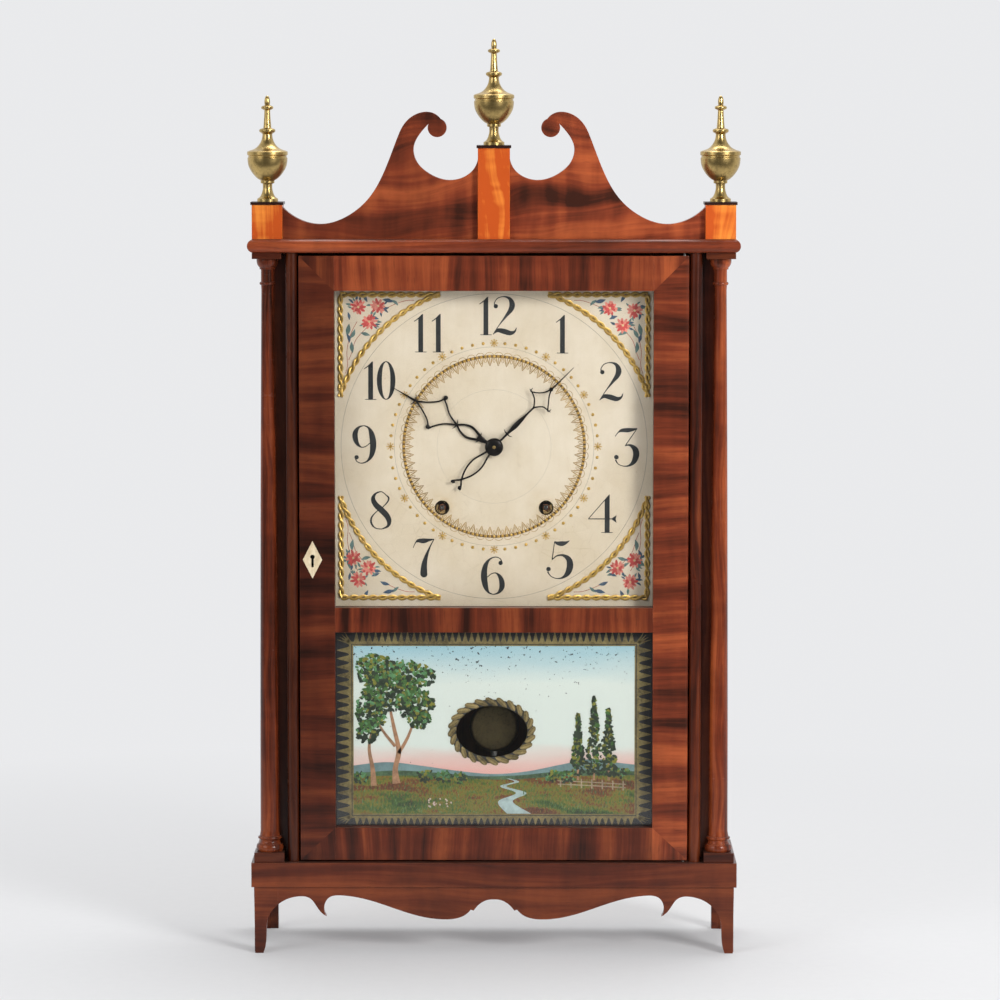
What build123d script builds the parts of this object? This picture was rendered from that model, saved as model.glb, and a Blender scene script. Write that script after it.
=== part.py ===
from build123d import *
import os
from math import acos, atan2, cos, degrees, hypot, radians, sin, sqrt

# Pillar and scroll shelf clock with a two weight wooden striking movement.
# Millimetres. +Z is up, +X is the viewer's right, the front faces -Y.
# The origin lies on the floor, midway between the sides and midway front to back.

# Case, outside sizes
DEPTH = 128.0
BASE_WIDTH = 426.4
CORNICE_WIDTH = 428.6
FOOT_HEIGHT = 59.0
BASE_HEIGHT = 21.4
CASE_HEIGHT = 535.6
CORNICE_HEIGHT = 12.0
RAIL_THICKNESS = 12.0
BOTTOM_BOARD_THICKNESS = 12.0

# Case body
CASE_WIDTH = 398.0
SIDE_THICKNESS = 10.0
BACK_THICKNESS = 8.0
STILE_THICKNESS = 10.0
STILE_SHOW = 28.0
STILE_FRONT = -33.0
BEAD_WIDTH = 10.5
BEAD_FRONT = -57.0

# Feet and aprons
FOOT_SETBACK = 2.0
BRACKET_THICKNESS = 8.0
FOOT_SPREAD = 211.0
FOOT_TOE = 8.0
FOOT_JOINT_X = 190.0
REAR_FOOT_DEPTH = 9.0
REAR_FOOT_WIDTH = 7.0

# Columns
COLUMN_X = 197.5
COLUMN_Y = -48.0
COLUMN_BLOCK = 26.4
COLUMN_BLOCK_HEIGHT = 8.6
ABACUS = 25.6
ABACUS_HEIGHT = 5.2

# Scrolls, plinths and finials
SCROLL_BACK = -40.0
SCROLL_THICKNESS = 12.0
SCROLL_BALL_RADIUS = 8.2
PLINTH_FRONT = -59.0
SIDE_PLINTH = 26.5
SIDE_PLINTH_HEIGHT = 29.7
SIDE_PLINTH_CENTRE = 197.05
CENTRE_PLINTH = 27.8
CENTRE_PLINTH_HEIGHT = 78.8
CAP_OVERHANG = 1.1
CAP_HEIGHT = 2.4

# Door
DOOR_FRONT = -56.5
DOOR_THICKNESS = 16.0
DOOR_SIDE_GAP = 1.0
DOOR_FOOT_GAP = 1.6
DOOR_HEAD_GAP = 2.7
DOOR_STILE = 30.8
TOP_RAIL = 30.4
MIDDLE_RAIL = 21.6
BOTTOM_RAIL = 28.6
DIAL_OPENING_HEIGHT = 277.6
GLASS_FRONT = -46.0
GLASS_THICKNESS = 2.0
REBATE = 3.0
GLASS_CLEARANCE = 0.1
EDGE_ROUND = 1.5
PIN_INSET_X = 4.0
PIN_INSET_Y = 3.0
PIN_RADIUS = 1.2
PIN_IN_DOOR = 10.0
PIN_IN_CASE = 8.0
RUNNING_FIT = 0.05

# Lock
ESCUTCHEON_INSET = 11.3
ESCUTCHEON_WIDTH = 17.0
ESCUTCHEON_HEIGHT = 33.0
ESCUTCHEON_THICKNESS = 1.5
ESCUTCHEON_RISE = 42.4
LOCK_WIDTH = 22.0
LOCK_HEIGHT = 40.0
LOCK_DEPTH = 6.5
LOCK_WALL = 1.0
BOLT_HEIGHT = 10.0
BOLT_THICKNESS = 3.5
BOLT_LENGTH = 17.0
BOLT_THROW = 4.0
BOLT_CLEARANCE = 0.3

# Dial
DIAL_RISE = 0.9
DIAL_FRONT = -30.0
DIAL_THICKNESS = 6.0
DIAL_SIDE_LAP = 6.8
DIAL_LAP = 9.0
CENTRE_HOLE_RADIUS = 6.0
WINDING_X = 45.7
WINDING_DROP = 54.0
BUSH_RADIUS = 6.5
WINDING_HOLE_RADIUS = 5.0
BUSH_STAND = 0.6
DIAL_POST_WIDTH = 12.0
DIAL_POST_DEPTH = 14.0

# Movement plates
PLATE_HALF_WIDTH = 92.0
PLATE_DROP = 90.0
PLATE_RISE = 75.0
FRONT_PLATE_FRONT = -4.0
FRONT_PLATE_THICKNESS = 7.0
PLATE_SPACE = 38.0
BACK_PLATE_THICKNESS = 7.0
MOUNT_RAIL_WIDTH = 16.0
MOUNT_RAIL_X = 68.0
MOUNT_RAIL_OVERHANG = 15.0
PILLAR_RADIUS = 6.0
PILLAR_TENON = 3.5
PILLAR_LOW = (84.0, -65.0)
PILLAR_HIGH = (72.0, 67.0)

# Wheels: tooth counts and modules
GREAT_TEETH = 44
SECOND_PINION = 10
SECOND_TEETH = 36
CENTRE_PINION = 24
CENTRE_TEETH = 64
THIRD_PINION = 8
THIRD_TEETH = 60
ESCAPE_PINION = 8
ESCAPE_TEETH = 64
CANNON_TEETH = 12
MINUTE_TEETH = 36
MINUTE_PINION = 12
HOUR_TEETH = 48
PIN_PINION = 10
PIN_TEETH = 48
COUNT_PINION = 8
COUNT_TEETH = 78
WARNING_PINION = 8
WARNING_TEETH = 40
FLY_PINION = 8
MODULE_GREAT = 1.25
MODULE_TRAIN = 1.0
MODULE_HOUR = 0.8
MODULE_ESCAPE = 0.75

# Tooth form, as shares of the module and of the pitch
ADDENDUM = 0.75
DEDENDUM = 1.2
ROOT_SHARE = 0.5
TIP_SHARE = 0.2

# Arbors
ARBOR_RADIUS = 2.6
PIVOT_RADIUS = 1.2
PIVOT_LENGTH = 5.0
END_SHAKE = 0.3
CENTRE_RADIUS = 3.0
HOUR_PIPE_RADIUS = 4.5
DRUM_RADIUS = 11.5
DRUM_LENGTH = 16.0
DRUM_FLANGE = 14.0
WHEEL_THICKNESS = 3.5
GREAT_THICKNESS = 6.0
THIN_WHEEL = 3.0

# Escapement and pendulum
VERGE_RISE = 35.0
STUD_RADIUS = 1.5
PALLET_RADIUS = 27.0
PALLET_SPREAD = 36.9
PENDULUM_LENGTH = 218.4
ROD_RADIUS = 1.2
BOB_RADIUS = 22.0
BOB_THICKNESS = 8.0
ROD_Y = -15.0

# Weights, cords and pulleys
CORD_RADIUS = 1.0
CORD_CLEARANCE = 0.3
PULLEY_RADIUS = 15.0
PULLEY_FLANGE = 18.0
PULLEY_THICKNESS = 6.0
PULLEY_GROOVE = 3.2
PULLEY_BORE = 2.0
PULLEY_INSET = 43.8
PULLEY_DROP = 28.0
BRACKET_CHEEK = 3.5
BRACKET_HALF_WIDTH = 7.0
WEIGHT_RADIUS = 17.0
WEIGHT_HEIGHT = 150.0
WEIGHT_REST_GAP = 0.3
HOOK_RADIUS = 2.5
HOOK_HEIGHT = 9.0
PARTITION_INSET = 58.0
PARTITION_THICKNESS = 6.0
PARTITION_HEIGHT = 460.0
PARTITION_DEPTH = 60.0

# Strike work
BELL_X = -40.0
BELL_RADIUS = 34.0
BELL_RISE = 28.0
BELL_WALL = 2.2
BELL_MOUTH_DROP = 155.0
BELL_BOLT_RADIUS = 2.4
HAMMER_GAP = 1.0
HAMMER_HEAD_RADIUS = 4.0
HAMMER_HEAD_LENGTH = 9.0
HAMMER_ARM_RADIUS = 1.2
FLY_SPAN = 9.0
LIFTING_PINS = 8
LIFTING_PIN_CIRCLE = 19.0

# Hands
HOUR_HAND_LENGTH = 103.6
MINUTE_HAND_LENGTH = 98.9
HOUR_HAND_ANGLE = 149.6
MINUTE_HAND_ANGLE = 45.0
HAND_THICKNESS = 1.2
HOUR_HAND_BACK = -31.8
MINUTE_HAND_BACK = -35.0
BOSS_RADIUS = 8.0
BOSS_HEIGHT = 3.0

# Heights and depths worked out from the sizes above
FRONT = -DEPTH / 2
BACK = DEPTH / 2
BASE_TOP = FOOT_HEIGHT + BASE_HEIGHT
CORNICE_Z = BASE_TOP + CASE_HEIGHT
TOP_Z = CORNICE_Z + CORNICE_HEIGHT
BACK_FRONT = BACK - BACK_THICKNESS
CASE_HALF = CASE_WIDTH / 2
SIDE_INSIDE = CASE_HALF - SIDE_THICKNESS
JAMB_X = CASE_HALF - STILE_SHOW
DOOR_HALF_WIDTH = JAMB_X - DOOR_SIDE_GAP
STILE_BACK = STILE_FRONT + STILE_THICKNESS
DOOR_BACK = DOOR_FRONT + DOOR_THICKNESS
DOOR_FOOT = BASE_TOP + DOOR_FOOT_GAP
DOOR_HEAD = CORNICE_Z - DOOR_HEAD_GAP
DIAL_OPENING_TOP = DOOR_HEAD - TOP_RAIL
DIAL_OPENING_FOOT = DIAL_OPENING_TOP - DIAL_OPENING_HEIGHT
TABLET_TOP = DIAL_OPENING_FOOT - MIDDLE_RAIL
TABLET_FOOT = DOOR_FOOT + BOTTOM_RAIL
OPENING_X = DOOR_HALF_WIDTH - DOOR_STILE
GLASS_BACK = GLASS_FRONT + GLASS_THICKNESS
PIN_X = DOOR_HALF_WIDTH - PIN_INSET_X
PIN_Y = DOOR_FRONT + PIN_INSET_Y
DIAL_HALF_WIDTH = OPENING_X + DIAL_SIDE_LAP
DIAL_Z = (DIAL_OPENING_TOP + DIAL_OPENING_FOOT) / 2 + DIAL_RISE
DIAL_BACK = DIAL_FRONT + DIAL_THICKNESS
FRONT_PLATE_BACK = FRONT_PLATE_FRONT + FRONT_PLATE_THICKNESS
BACK_PLATE_FRONT = FRONT_PLATE_BACK + PLATE_SPACE
BACK_PLATE_BACK = BACK_PLATE_FRONT + BACK_PLATE_THICKNESS
ESCUTCHEON_X = ESCUTCHEON_INSET - DOOR_HALF_WIDTH
ESCUTCHEON_Z = DIAL_OPENING_FOOT + ESCUTCHEON_RISE
PULLEY_X = SIDE_INSIDE - PULLEY_INSET
PARTITION_X = SIDE_INSIDE - PARTITION_INSET

# Planes of the wheels, front faces
GREAT_Y = FRONT_PLATE_BACK + 2.0
DRUM_Y = GREAT_Y + GREAT_THICKNESS + 1.0
CORD_Y = DRUM_Y + DRUM_LENGTH / 2
CENTRE_WHEEL_Y = FRONT_PLATE_BACK + 21.0
SECOND_WHEEL_Y = FRONT_PLATE_BACK + 29.5
THIRD_WHEEL_Y = FRONT_PLATE_BACK + 33.9
PIN_WHEEL_Y = FRONT_PLATE_BACK + 26.5
WARNING_WHEEL_Y = FRONT_PLATE_BACK + 11.0
CANNON_Y = FRONT_PLATE_FRONT - 5.2
HOUR_WHEEL_Y = FRONT_PLATE_FRONT - 10.0
ESCAPE_WHEEL_Y = FRONT_PLATE_FRONT - 5.0
COUNT_WHEEL_Y = FRONT_PLATE_FRONT - 5.0


def away(start, distance, angle):
    """Point at a distance from start, at an angle from +X towards +Z."""
    return (start[0] + distance * cos(radians(angle)), start[1] + distance * sin(radians(angle)))


def direction(start, end):
    """Angle in degrees of the line from start to end."""
    return degrees(atan2(end[1] - start[1], end[0] - start[0]))


def reach(teeth, pinion, module):
    """Centre distance of a wheel and its pinion."""
    return (teeth + pinion) * module / 2


def between(first, second, first_reach, second_reach, side):
    """Point at given distances from two others, on one side of the line between them."""
    span = hypot(second[0] - first[0], second[1] - first[1])
    turn = degrees(acos((first_reach**2 + span**2 - second_reach**2) / (2 * first_reach * span)))
    return away(first, first_reach, direction(first, second) + side * turn)


# Places of the arbors, seen from the front, as (x, z)
CENTRE = (0.0, DIAL_Z)
TIME_DRUM = (WINDING_X, DIAL_Z - WINDING_DROP)
STRIKE_DRUM = (-WINDING_X, DIAL_Z - WINDING_DROP)
GREAT_REACH = reach(GREAT_TEETH, SECOND_PINION, MODULE_GREAT)
SECOND_REACH = reach(SECOND_TEETH, CENTRE_PINION, MODULE_GREAT)
SECOND = between(TIME_DRUM, CENTRE, GREAT_REACH, SECOND_REACH, -1)
THIRD = away(CENTRE, reach(CENTRE_TEETH, THIRD_PINION, MODULE_TRAIN), -106.4)
ESCAPE_REACH = reach(THIRD_TEETH, ESCAPE_PINION, MODULE_TRAIN)
ESCAPE = (0.0, THIRD[1] - sqrt(ESCAPE_REACH**2 - THIRD[0] ** 2))
VERGE = (0.0, ESCAPE[1] + VERGE_RISE)
MINUTE_WHEEL = away(CENTRE, reach(MINUTE_TEETH, CANNON_TEETH, MODULE_TRAIN), 135.0)
PIN_REACH = reach(GREAT_TEETH, PIN_PINION, MODULE_GREAT)
PIN_WHEEL = away(STRIKE_DRUM, PIN_REACH, 115.6)
WARNING = away(PIN_WHEEL, reach(PIN_TEETH, WARNING_PINION, MODULE_TRAIN), 79.7)
FLY = away(WARNING, reach(WARNING_TEETH, FLY_PINION, MODULE_TRAIN), 51.1)
COUNT_WHEEL = away(PIN_WHEEL, reach(COUNT_TEETH, COUNT_PINION, MODULE_HOUR), 126.9)
HAMMER = (-75.0, DIAL_Z - 73.0)


def save(builder, name):
    """Label a finished piece and write its file."""
    builder.part.label = name
    export_step(builder.part, f"parts/{name}.step")


def save_group(builders, name):
    """Write touching pieces that stay separate solids as one group."""
    group = Compound(children=[solid for builder in builders for solid in builder.part.solids()])
    group.label = name
    export_step(group, f"parts/{name}.step")


def block(x, y, z, mode=Mode.ADD):
    """Rectangular block between limits given as (low, high) on each axis."""
    middle = ((x[0] + x[1]) / 2, (y[0] + y[1]) / 2, (z[0] + z[1]) / 2)
    with Locations(middle):
        Box(x[1] - x[0], y[1] - y[0], z[1] - z[0], mode=mode)


def rod(place, radius, y, mode=Mode.ADD):
    """Round rod along Y, at place (x, z), between the two depths in y."""
    middle = (place[0], (y[0] + y[1]) / 2, place[1])
    with Locations(Location(middle, (90, 0, 0))):
        Cylinder(radius, y[1] - y[0], mode=mode)


def post(place, radius, z, mode=Mode.ADD):
    """Round post along Z, at place (x, y), between the two heights in z."""
    with Locations((place[0], place[1], (z[0] + z[1]) / 2)):
        Cylinder(radius, z[1] - z[0], mode=mode)


def front_plane(y):
    """Sketch plane at depth y, seen from the front, with +X right and +Z up."""
    return Plane.XZ.offset(-y)


def wheel(place, teeth, module, tooth_angle, y, bore=0.0, windows=0):
    """Toothed wheel between two depths, with one tooth centred on tooth_angle."""
    pitch = module * teeth / 2
    root = pitch - DEDENDUM * module
    tip = pitch + ADDENDUM * module
    step = 360 / teeth
    corners = []
    for count in range(teeth):
        middle = tooth_angle + count * step
        corners.append(away((0, 0), root, middle - ROOT_SHARE * step / 2))
        corners.append(away((0, 0), tip, middle - TIP_SHARE * step / 2))
        corners.append(away((0, 0), tip, middle + TIP_SHARE * step / 2))
        corners.append(away((0, 0), root, middle + ROOT_SHARE * step / 2))
    with BuildSketch(front_plane(y[0])) as outline:
        with Locations(place):
            Polygon(*corners, align=None)
            if bore:
                Circle(bore, mode=Mode.SUBTRACT)
            if windows:
                with PolarLocations(root * 0.58, windows):
                    Circle(root * 0.24, mode=Mode.SUBTRACT)
    extrude(outline.sketch, amount=-(y[1] - y[0]))


def arbor(place, radius=ARBOR_RADIUS):
    """Plain arbor between the plates, with its two pivots."""
    rod(place, radius, (FRONT_PLATE_BACK + END_SHAKE, BACK_PLATE_FRONT - END_SHAKE))
    rod(place, PIVOT_RADIUS, (FRONT_PLATE_BACK - PIVOT_LENGTH, BACK_PLATE_FRONT + PIVOT_LENGTH))


def pivot_hole(place, radius, y):
    """Hole for a turning shaft, with its running fit."""
    rod(place, radius + RUNNING_FIT, y, Mode.SUBTRACT)


os.makedirs("parts", exist_ok=True)

# Base: four rails with a bottom board let in between them
INNER_BASE = BASE_WIDTH / 2 - RAIL_THICKNESS
with BuildPart() as base_rails:
    rails_z = (FOOT_HEIGHT, BASE_TOP)
    block((-BASE_WIDTH / 2, BASE_WIDTH / 2), (FRONT, FRONT + RAIL_THICKNESS), rails_z)
    block((-INNER_BASE, INNER_BASE), (BACK - RAIL_THICKNESS, BACK), rails_z)
    for low in (-BASE_WIDTH / 2, INNER_BASE):
        block((low, low + RAIL_THICKNESS), (FRONT + RAIL_THICKNESS, BACK), rails_z)
    post((PIN_X, PIN_Y), PIN_RADIUS, (BASE_TOP - PIN_IN_CASE, BASE_TOP), Mode.SUBTRACT)
with BuildPart() as bottom_board:
    block(
        (-INNER_BASE, INNER_BASE),
        (FRONT + RAIL_THICKNESS, BACK - RAIL_THICKNESS),
        (BASE_TOP - BOTTOM_BOARD_THICKNESS, BASE_TOP),
    )
save_group([base_rails, bottom_board], "base_frame")


def half_apron_line(foot_edge):
    """Lower edge of the front, from the toe of a foot to the middle of the arch."""
    cusp = (-147.2, 32.9)
    notch = (-17.9, 38.0)
    Spline((-foot_edge, 0), (-200.3, 16), (-198.5, 31.6), (-191.1, 42.3), (-176.4, 49.8),
           (-161.8, 48.7), (-153.7, 38.2), cusp)
    Spline(cusp, (-149.4, 41.0), (-145.5, 49.0), (-132.5, 51.3), (-101.6, 44.7), (-69.1, 33.9),
           (-43.1, 30.1), (-28.0, 32.6), (-20.3, 38.8))
    Line((-20.3, 38.8), notch)
    Spline(notch, (-14.6, 42.0), (-8.9, 46.2), (0, 48.0), tangents=((1, 1.1), (1, 0)))


TOE_EDGE = FOOT_SPREAD - FOOT_TOE
BRACKET_FRONT = FRONT + FOOT_SETBACK
BRACKET_BACK = BRACKET_FRONT + BRACKET_THICKNESS


def front_bracket():
    """Sketch of the whole sawn front: two feet and the scalloped apron."""
    with BuildSketch(front_plane(BRACKET_FRONT)) as shape:
        with BuildLine():
            half_apron_line(TOE_EDGE)
            Polyline((0, 48.0), (0, FOOT_HEIGHT), (-FOOT_SPREAD, FOOT_HEIGHT), (-FOOT_SPREAD + 0.8, 0),
                     (-TOE_EDGE, 0))
        make_face()
        mirror(about=Plane.YZ)
    return shape.sketch


with BuildPart() as front_apron:
    extrude(front_bracket(), amount=-BRACKET_THICKNESS)
    for side in (-1, 1):
        outer = (side * FOOT_JOINT_X, side * (FOOT_SPREAD + 1))
        block(sorted(outer), (FRONT, BRACKET_BACK), (-1, FOOT_HEIGHT + 1), Mode.SUBTRACT)
save(front_apron, "front_apron")

with BuildPart() as front_feet:
    extrude(front_bracket(), amount=-BRACKET_THICKNESS)
    block((-FOOT_JOINT_X, FOOT_JOINT_X), (FRONT, BRACKET_BACK), (-1, FOOT_HEIGHT + 1), Mode.SUBTRACT)
save(front_feet, "front_feet")

# Side aprons run back from the front feet and end in the rear feet
SIDE_TOE = 10.0
SIDE_ARCH = 47.0
with BuildPart() as side_aprons:
    with BuildSketch(Plane.YZ.offset(-FOOT_SPREAD)) as side_shape:
        with BuildLine():
            Polyline((BRACKET_BACK + SIDE_TOE, 0), (BRACKET_BACK, 0), (BRACKET_BACK, FOOT_HEIGHT),
                     (BACK, FOOT_HEIGHT), (BACK, 0), (BACK - SIDE_TOE, 0))
            Spline((BRACKET_BACK + SIDE_TOE, 0), (BRACKET_BACK + SIDE_TOE + 3, 28),
                   (BRACKET_BACK + SIDE_TOE + 16, SIDE_ARCH), (0, SIDE_ARCH - 8),
                   (BACK - SIDE_TOE - 16, SIDE_ARCH), (BACK - SIDE_TOE - 3, 28), (BACK - SIDE_TOE, 0))
        make_face()
    extrude(side_shape.sketch, amount=BRACKET_THICKNESS)
    mirror(about=Plane.YZ)

with BuildPart() as rear_feet:
    for side in (-1, 1):
        inner = FOOT_SPREAD - BRACKET_THICKNESS
        block(
            sorted((side * inner, side * (inner - REAR_FOOT_WIDTH))),
            (BACK - REAR_FOOT_DEPTH, BACK),
            (0, FOOT_HEIGHT),
        )
save_group([side_aprons, rear_feet], "side_aprons")

# Case body
with BuildPart() as side_panels:
    for side in (-1, 1):
        block(
            sorted((side * SIDE_INSIDE, side * CASE_HALF)),
            (STILE_BACK, BACK_FRONT),
            (BASE_TOP, CORNICE_Z),
        )
save(side_panels, "side_panels")

with BuildPart() as front_stiles:
    for side in (-1, 1):
        block(
            sorted((side * JAMB_X, side * CASE_HALF)),
            (STILE_FRONT, STILE_BACK),
            (BASE_TOP, CORNICE_Z),
        )
save(front_stiles, "front_stiles")

MORTISE_X = (-JAMB_X - BOLT_THROW - 1.0, -JAMB_X)
BOLT_Z = (ESCUTCHEON_Z - BOLT_HEIGHT / 2, ESCUTCHEON_Z + BOLT_HEIGHT / 2)
BOLT_Y = (DOOR_BACK + LOCK_WALL + BOLT_CLEARANCE, DOOR_BACK + LOCK_WALL + BOLT_CLEARANCE + BOLT_THICKNESS)
with BuildPart() as jamb_beads:
    with BuildSketch(Plane.XY.offset(BASE_TOP)) as bead_section:
        with Locations((JAMB_X + BEAD_WIDTH / 2, BEAD_FRONT + BEAD_WIDTH / 2)):
            Circle(BEAD_WIDTH / 2)
        body_depth = STILE_FRONT - (BEAD_FRONT + BEAD_WIDTH / 2)
        with Locations((JAMB_X + BEAD_WIDTH / 2, STILE_FRONT - body_depth / 2)):
            Rectangle(BEAD_WIDTH, body_depth)
    extrude(bead_section.sketch, amount=CASE_HEIGHT)
    mirror(about=Plane.YZ)
    block(
        MORTISE_X,
        (BOLT_Y[0] - BOLT_CLEARANCE, BOLT_Y[1] + BOLT_CLEARANCE),
        (BOLT_Z[0] - BOLT_CLEARANCE, BOLT_Z[1] + BOLT_CLEARANCE),
        Mode.SUBTRACT,
    )
save(jamb_beads, "jamb_beads")

with BuildPart() as back_board:
    block((-CASE_HALF, CASE_HALF), (BACK_FRONT, BACK), (BASE_TOP, CORNICE_Z))
save(back_board, "back_board")

# Cornice: a top board with half-round mouldings mitred round its front and sides
INNER_TOP = CORNICE_WIDTH / 2 - RAIL_THICKNESS
with BuildPart() as top_board:
    block((-INNER_TOP, INNER_TOP), (FRONT + RAIL_THICKNESS, BACK), (CORNICE_Z, TOP_Z))

with BuildPart() as cornice_moulding:
    outer = CORNICE_WIDTH / 2
    inner_y = FRONT + RAIL_THICKNESS
    with BuildSketch(Plane.XY.offset(CORNICE_Z)) as front_strip:
        with BuildLine():
            Polyline((-outer, FRONT), (outer, FRONT), (INNER_TOP, inner_y), (-INNER_TOP, inner_y), close=True)
        make_face()
    extrude(front_strip.sketch, amount=CORNICE_HEIGHT)
    nose = cornice_moulding.edges().filter_by(Axis.X).group_by(Axis.Y)[0]
    fillet(nose, CORNICE_HEIGHT / 2 - 0.1)
    post((PIN_X, PIN_Y), PIN_RADIUS, (CORNICE_Z, CORNICE_Z + PIN_IN_CASE), Mode.SUBTRACT)

with BuildPart() as cornice_return:
    with BuildSketch(Plane.XY.offset(CORNICE_Z)) as side_strip:
        with BuildLine():
            Polyline((-outer, FRONT), (-INNER_TOP, inner_y), (-INNER_TOP, BACK), (-outer, BACK), close=True)
        make_face()
    extrude(side_strip.sketch, amount=CORNICE_HEIGHT)
    nose = cornice_return.edges().filter_by(Axis.Y).group_by(Axis.X)[0]
    fillet(nose, CORNICE_HEIGHT / 2 - 0.1)
    mirror(about=Plane.YZ)

save_group([top_board, cornice_moulding, cornice_return], "cornice")

# Columns: lathe turned shafts between square blocks
COLUMN_FOOT = BASE_TOP + COLUMN_BLOCK_HEIGHT
COLUMN_HEAD = CORNICE_Z - ABACUS_HEIGHT
with BuildPart() as turned_column:
    with BuildSketch(Plane.XZ) as column_profile:
        with BuildLine():
            Polyline((0, COLUMN_FOOT), (11.0, COLUMN_FOOT))
            ThreePointArc((11.0, COLUMN_FOOT), (12.0, COLUMN_FOOT + 3.2), (11.0, COLUMN_FOOT + 6.4))
            Polyline((11.0, COLUMN_FOOT + 6.4), (9.8, COLUMN_FOOT + 6.4), (9.8, COLUMN_FOOT + 7.2))
            ThreePointArc((9.8, COLUMN_FOOT + 7.2), (8.9, COLUMN_FOOT + 9.0), (9.6, COLUMN_FOOT + 10.8))
            ThreePointArc((9.6, COLUMN_FOOT + 10.8), (10.5, COLUMN_FOOT + 12.0), (9.6, COLUMN_FOOT + 13.2))
            Polyline((9.6, COLUMN_FOOT + 13.2), (8.9, COLUMN_FOOT + 13.2), (8.9, COLUMN_FOOT + 14.2))
            Line((8.9, COLUMN_FOOT + 14.2), (8.3, COLUMN_FOOT + 18.0))
            Spline((8.3, COLUMN_FOOT + 18.0), (7.7, COLUMN_FOOT + 180.0), (6.55, COLUMN_HEAD - 158.8),
                   (5.35, COLUMN_HEAD - 27.8), tangents=((0, 1), (-0.01, 1)))
            Line((5.35, COLUMN_HEAD - 27.8), (5.6, COLUMN_HEAD - 23.2))
            ThreePointArc((5.6, COLUMN_HEAD - 23.2), (6.9, COLUMN_HEAD - 21.7), (5.6, COLUMN_HEAD - 20.2))
            Polyline((5.6, COLUMN_HEAD - 20.2), (5.6, COLUMN_HEAD - 9.4), (6.8, COLUMN_HEAD - 9.4),
                     (6.8, COLUMN_HEAD - 8.0))
            ThreePointArc((6.8, COLUMN_HEAD - 8.0), (8.6, COLUMN_HEAD - 5.6), (9.4, COLUMN_HEAD - 2.4))
            Polyline((9.4, COLUMN_HEAD - 2.4), (9.4, COLUMN_HEAD), (0, COLUMN_HEAD), (0, COLUMN_FOOT))
        make_face()
    revolve(column_profile.sketch, axis=Axis.Z)

with BuildPart() as columns:
    with Locations((-COLUMN_X, COLUMN_Y, 0), (COLUMN_X, COLUMN_Y, 0)):
        add(turned_column.part)
save(columns, "columns")

with BuildPart() as column_blocks:
    for side in (-1, 1):
        for width, low, high in (
            (COLUMN_BLOCK, BASE_TOP, COLUMN_FOOT),
            (ABACUS, COLUMN_HEAD, CORNICE_Z),
        ):
            block(
                (side * COLUMN_X - width / 2, side * COLUMN_X + width / 2),
                (COLUMN_Y - width / 2, COLUMN_Y + width / 2),
                (low, high),
            )
save(column_blocks, "column_blocks")

# Scrolled pediment boards, between the side plinths and the middle one
SCROLL_FRONT = SCROLL_BACK - SCROLL_THICKNESS
PLINTH_INNER = SIDE_PLINTH_CENTRE - SIDE_PLINTH / 2
CENTRE_HALF = CENTRE_PLINTH / 2
EYE = (-49.3, TOP_Z + 96.4)
with BuildPart() as scroll_boards:
    with BuildSketch(front_plane(SCROLL_FRONT)) as scroll_shape:
        with BuildLine():
            outer_end = (EYE[0] + 3.0, EYE[1] + 7.6)
            inner_end = (EYE[0] - 7.4, EYE[1] + 3.4)
            Spline((-PLINTH_INNER, TOP_Z + 27.7), (-172.9, TOP_Z + 18.9), (-150.4, TOP_Z + 12.8),
                   (-126.2, TOP_Z + 20.5), (-108.5, TOP_Z + 35.8), (-95.5, TOP_Z + 58.2),
                   (-84.2, TOP_Z + 87.1), (-77.8, TOP_Z + 99.9), (-68.0, TOP_Z + 108.0),
                   (-56.1, TOP_Z + 110.0), outer_end)
            Polyline(outer_end, EYE, inner_end)
            Spline(inner_end, (-63.3, TOP_Z + 92.5), (-69.8, TOP_Z + 79.1), (-66.6, TOP_Z + 66.3),
                   (-58.5, TOP_Z + 58.2), (-37.6, TOP_Z + 51.0), (-21.5, TOP_Z + 56.6),
                   (-CENTRE_HALF, TOP_Z + 69.5))
            Polyline((-CENTRE_HALF, TOP_Z + 69.5), (-CENTRE_HALF, TOP_Z), (-PLINTH_INNER, TOP_Z),
                     (-PLINTH_INNER, TOP_Z + 27.7))
        make_face()
        with Locations(EYE):
            Circle(SCROLL_BALL_RADIUS)
    extrude(scroll_shape.sketch, amount=-SCROLL_THICKNESS)
    mirror(about=Plane.YZ)
save(scroll_boards, "scroll_boards")

PLINTH_PLACES = (
    (-SIDE_PLINTH_CENTRE, SIDE_PLINTH, SIDE_PLINTH_HEIGHT),
    (0.0, CENTRE_PLINTH, CENTRE_PLINTH_HEIGHT),
    (SIDE_PLINTH_CENTRE, SIDE_PLINTH, SIDE_PLINTH_HEIGHT),
)
with BuildPart() as finial_plinths:
    for middle, width, height in PLINTH_PLACES:
        block(
            (middle - width / 2, middle + width / 2),
            (PLINTH_FRONT, PLINTH_FRONT + width),
            (TOP_Z, TOP_Z + height),
        )

with BuildPart() as plinth_caps:
    for middle, width, height in PLINTH_PLACES:
        block(
            (middle - width / 2 - CAP_OVERHANG, middle + width / 2 + CAP_OVERHANG),
            (PLINTH_FRONT - CAP_OVERHANG, PLINTH_FRONT + width + CAP_OVERHANG),
            (TOP_Z + height, TOP_Z + height + CAP_HEIGHT),
        )
save_group([finial_plinths, plinth_caps], "finial_plinths")

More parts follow.
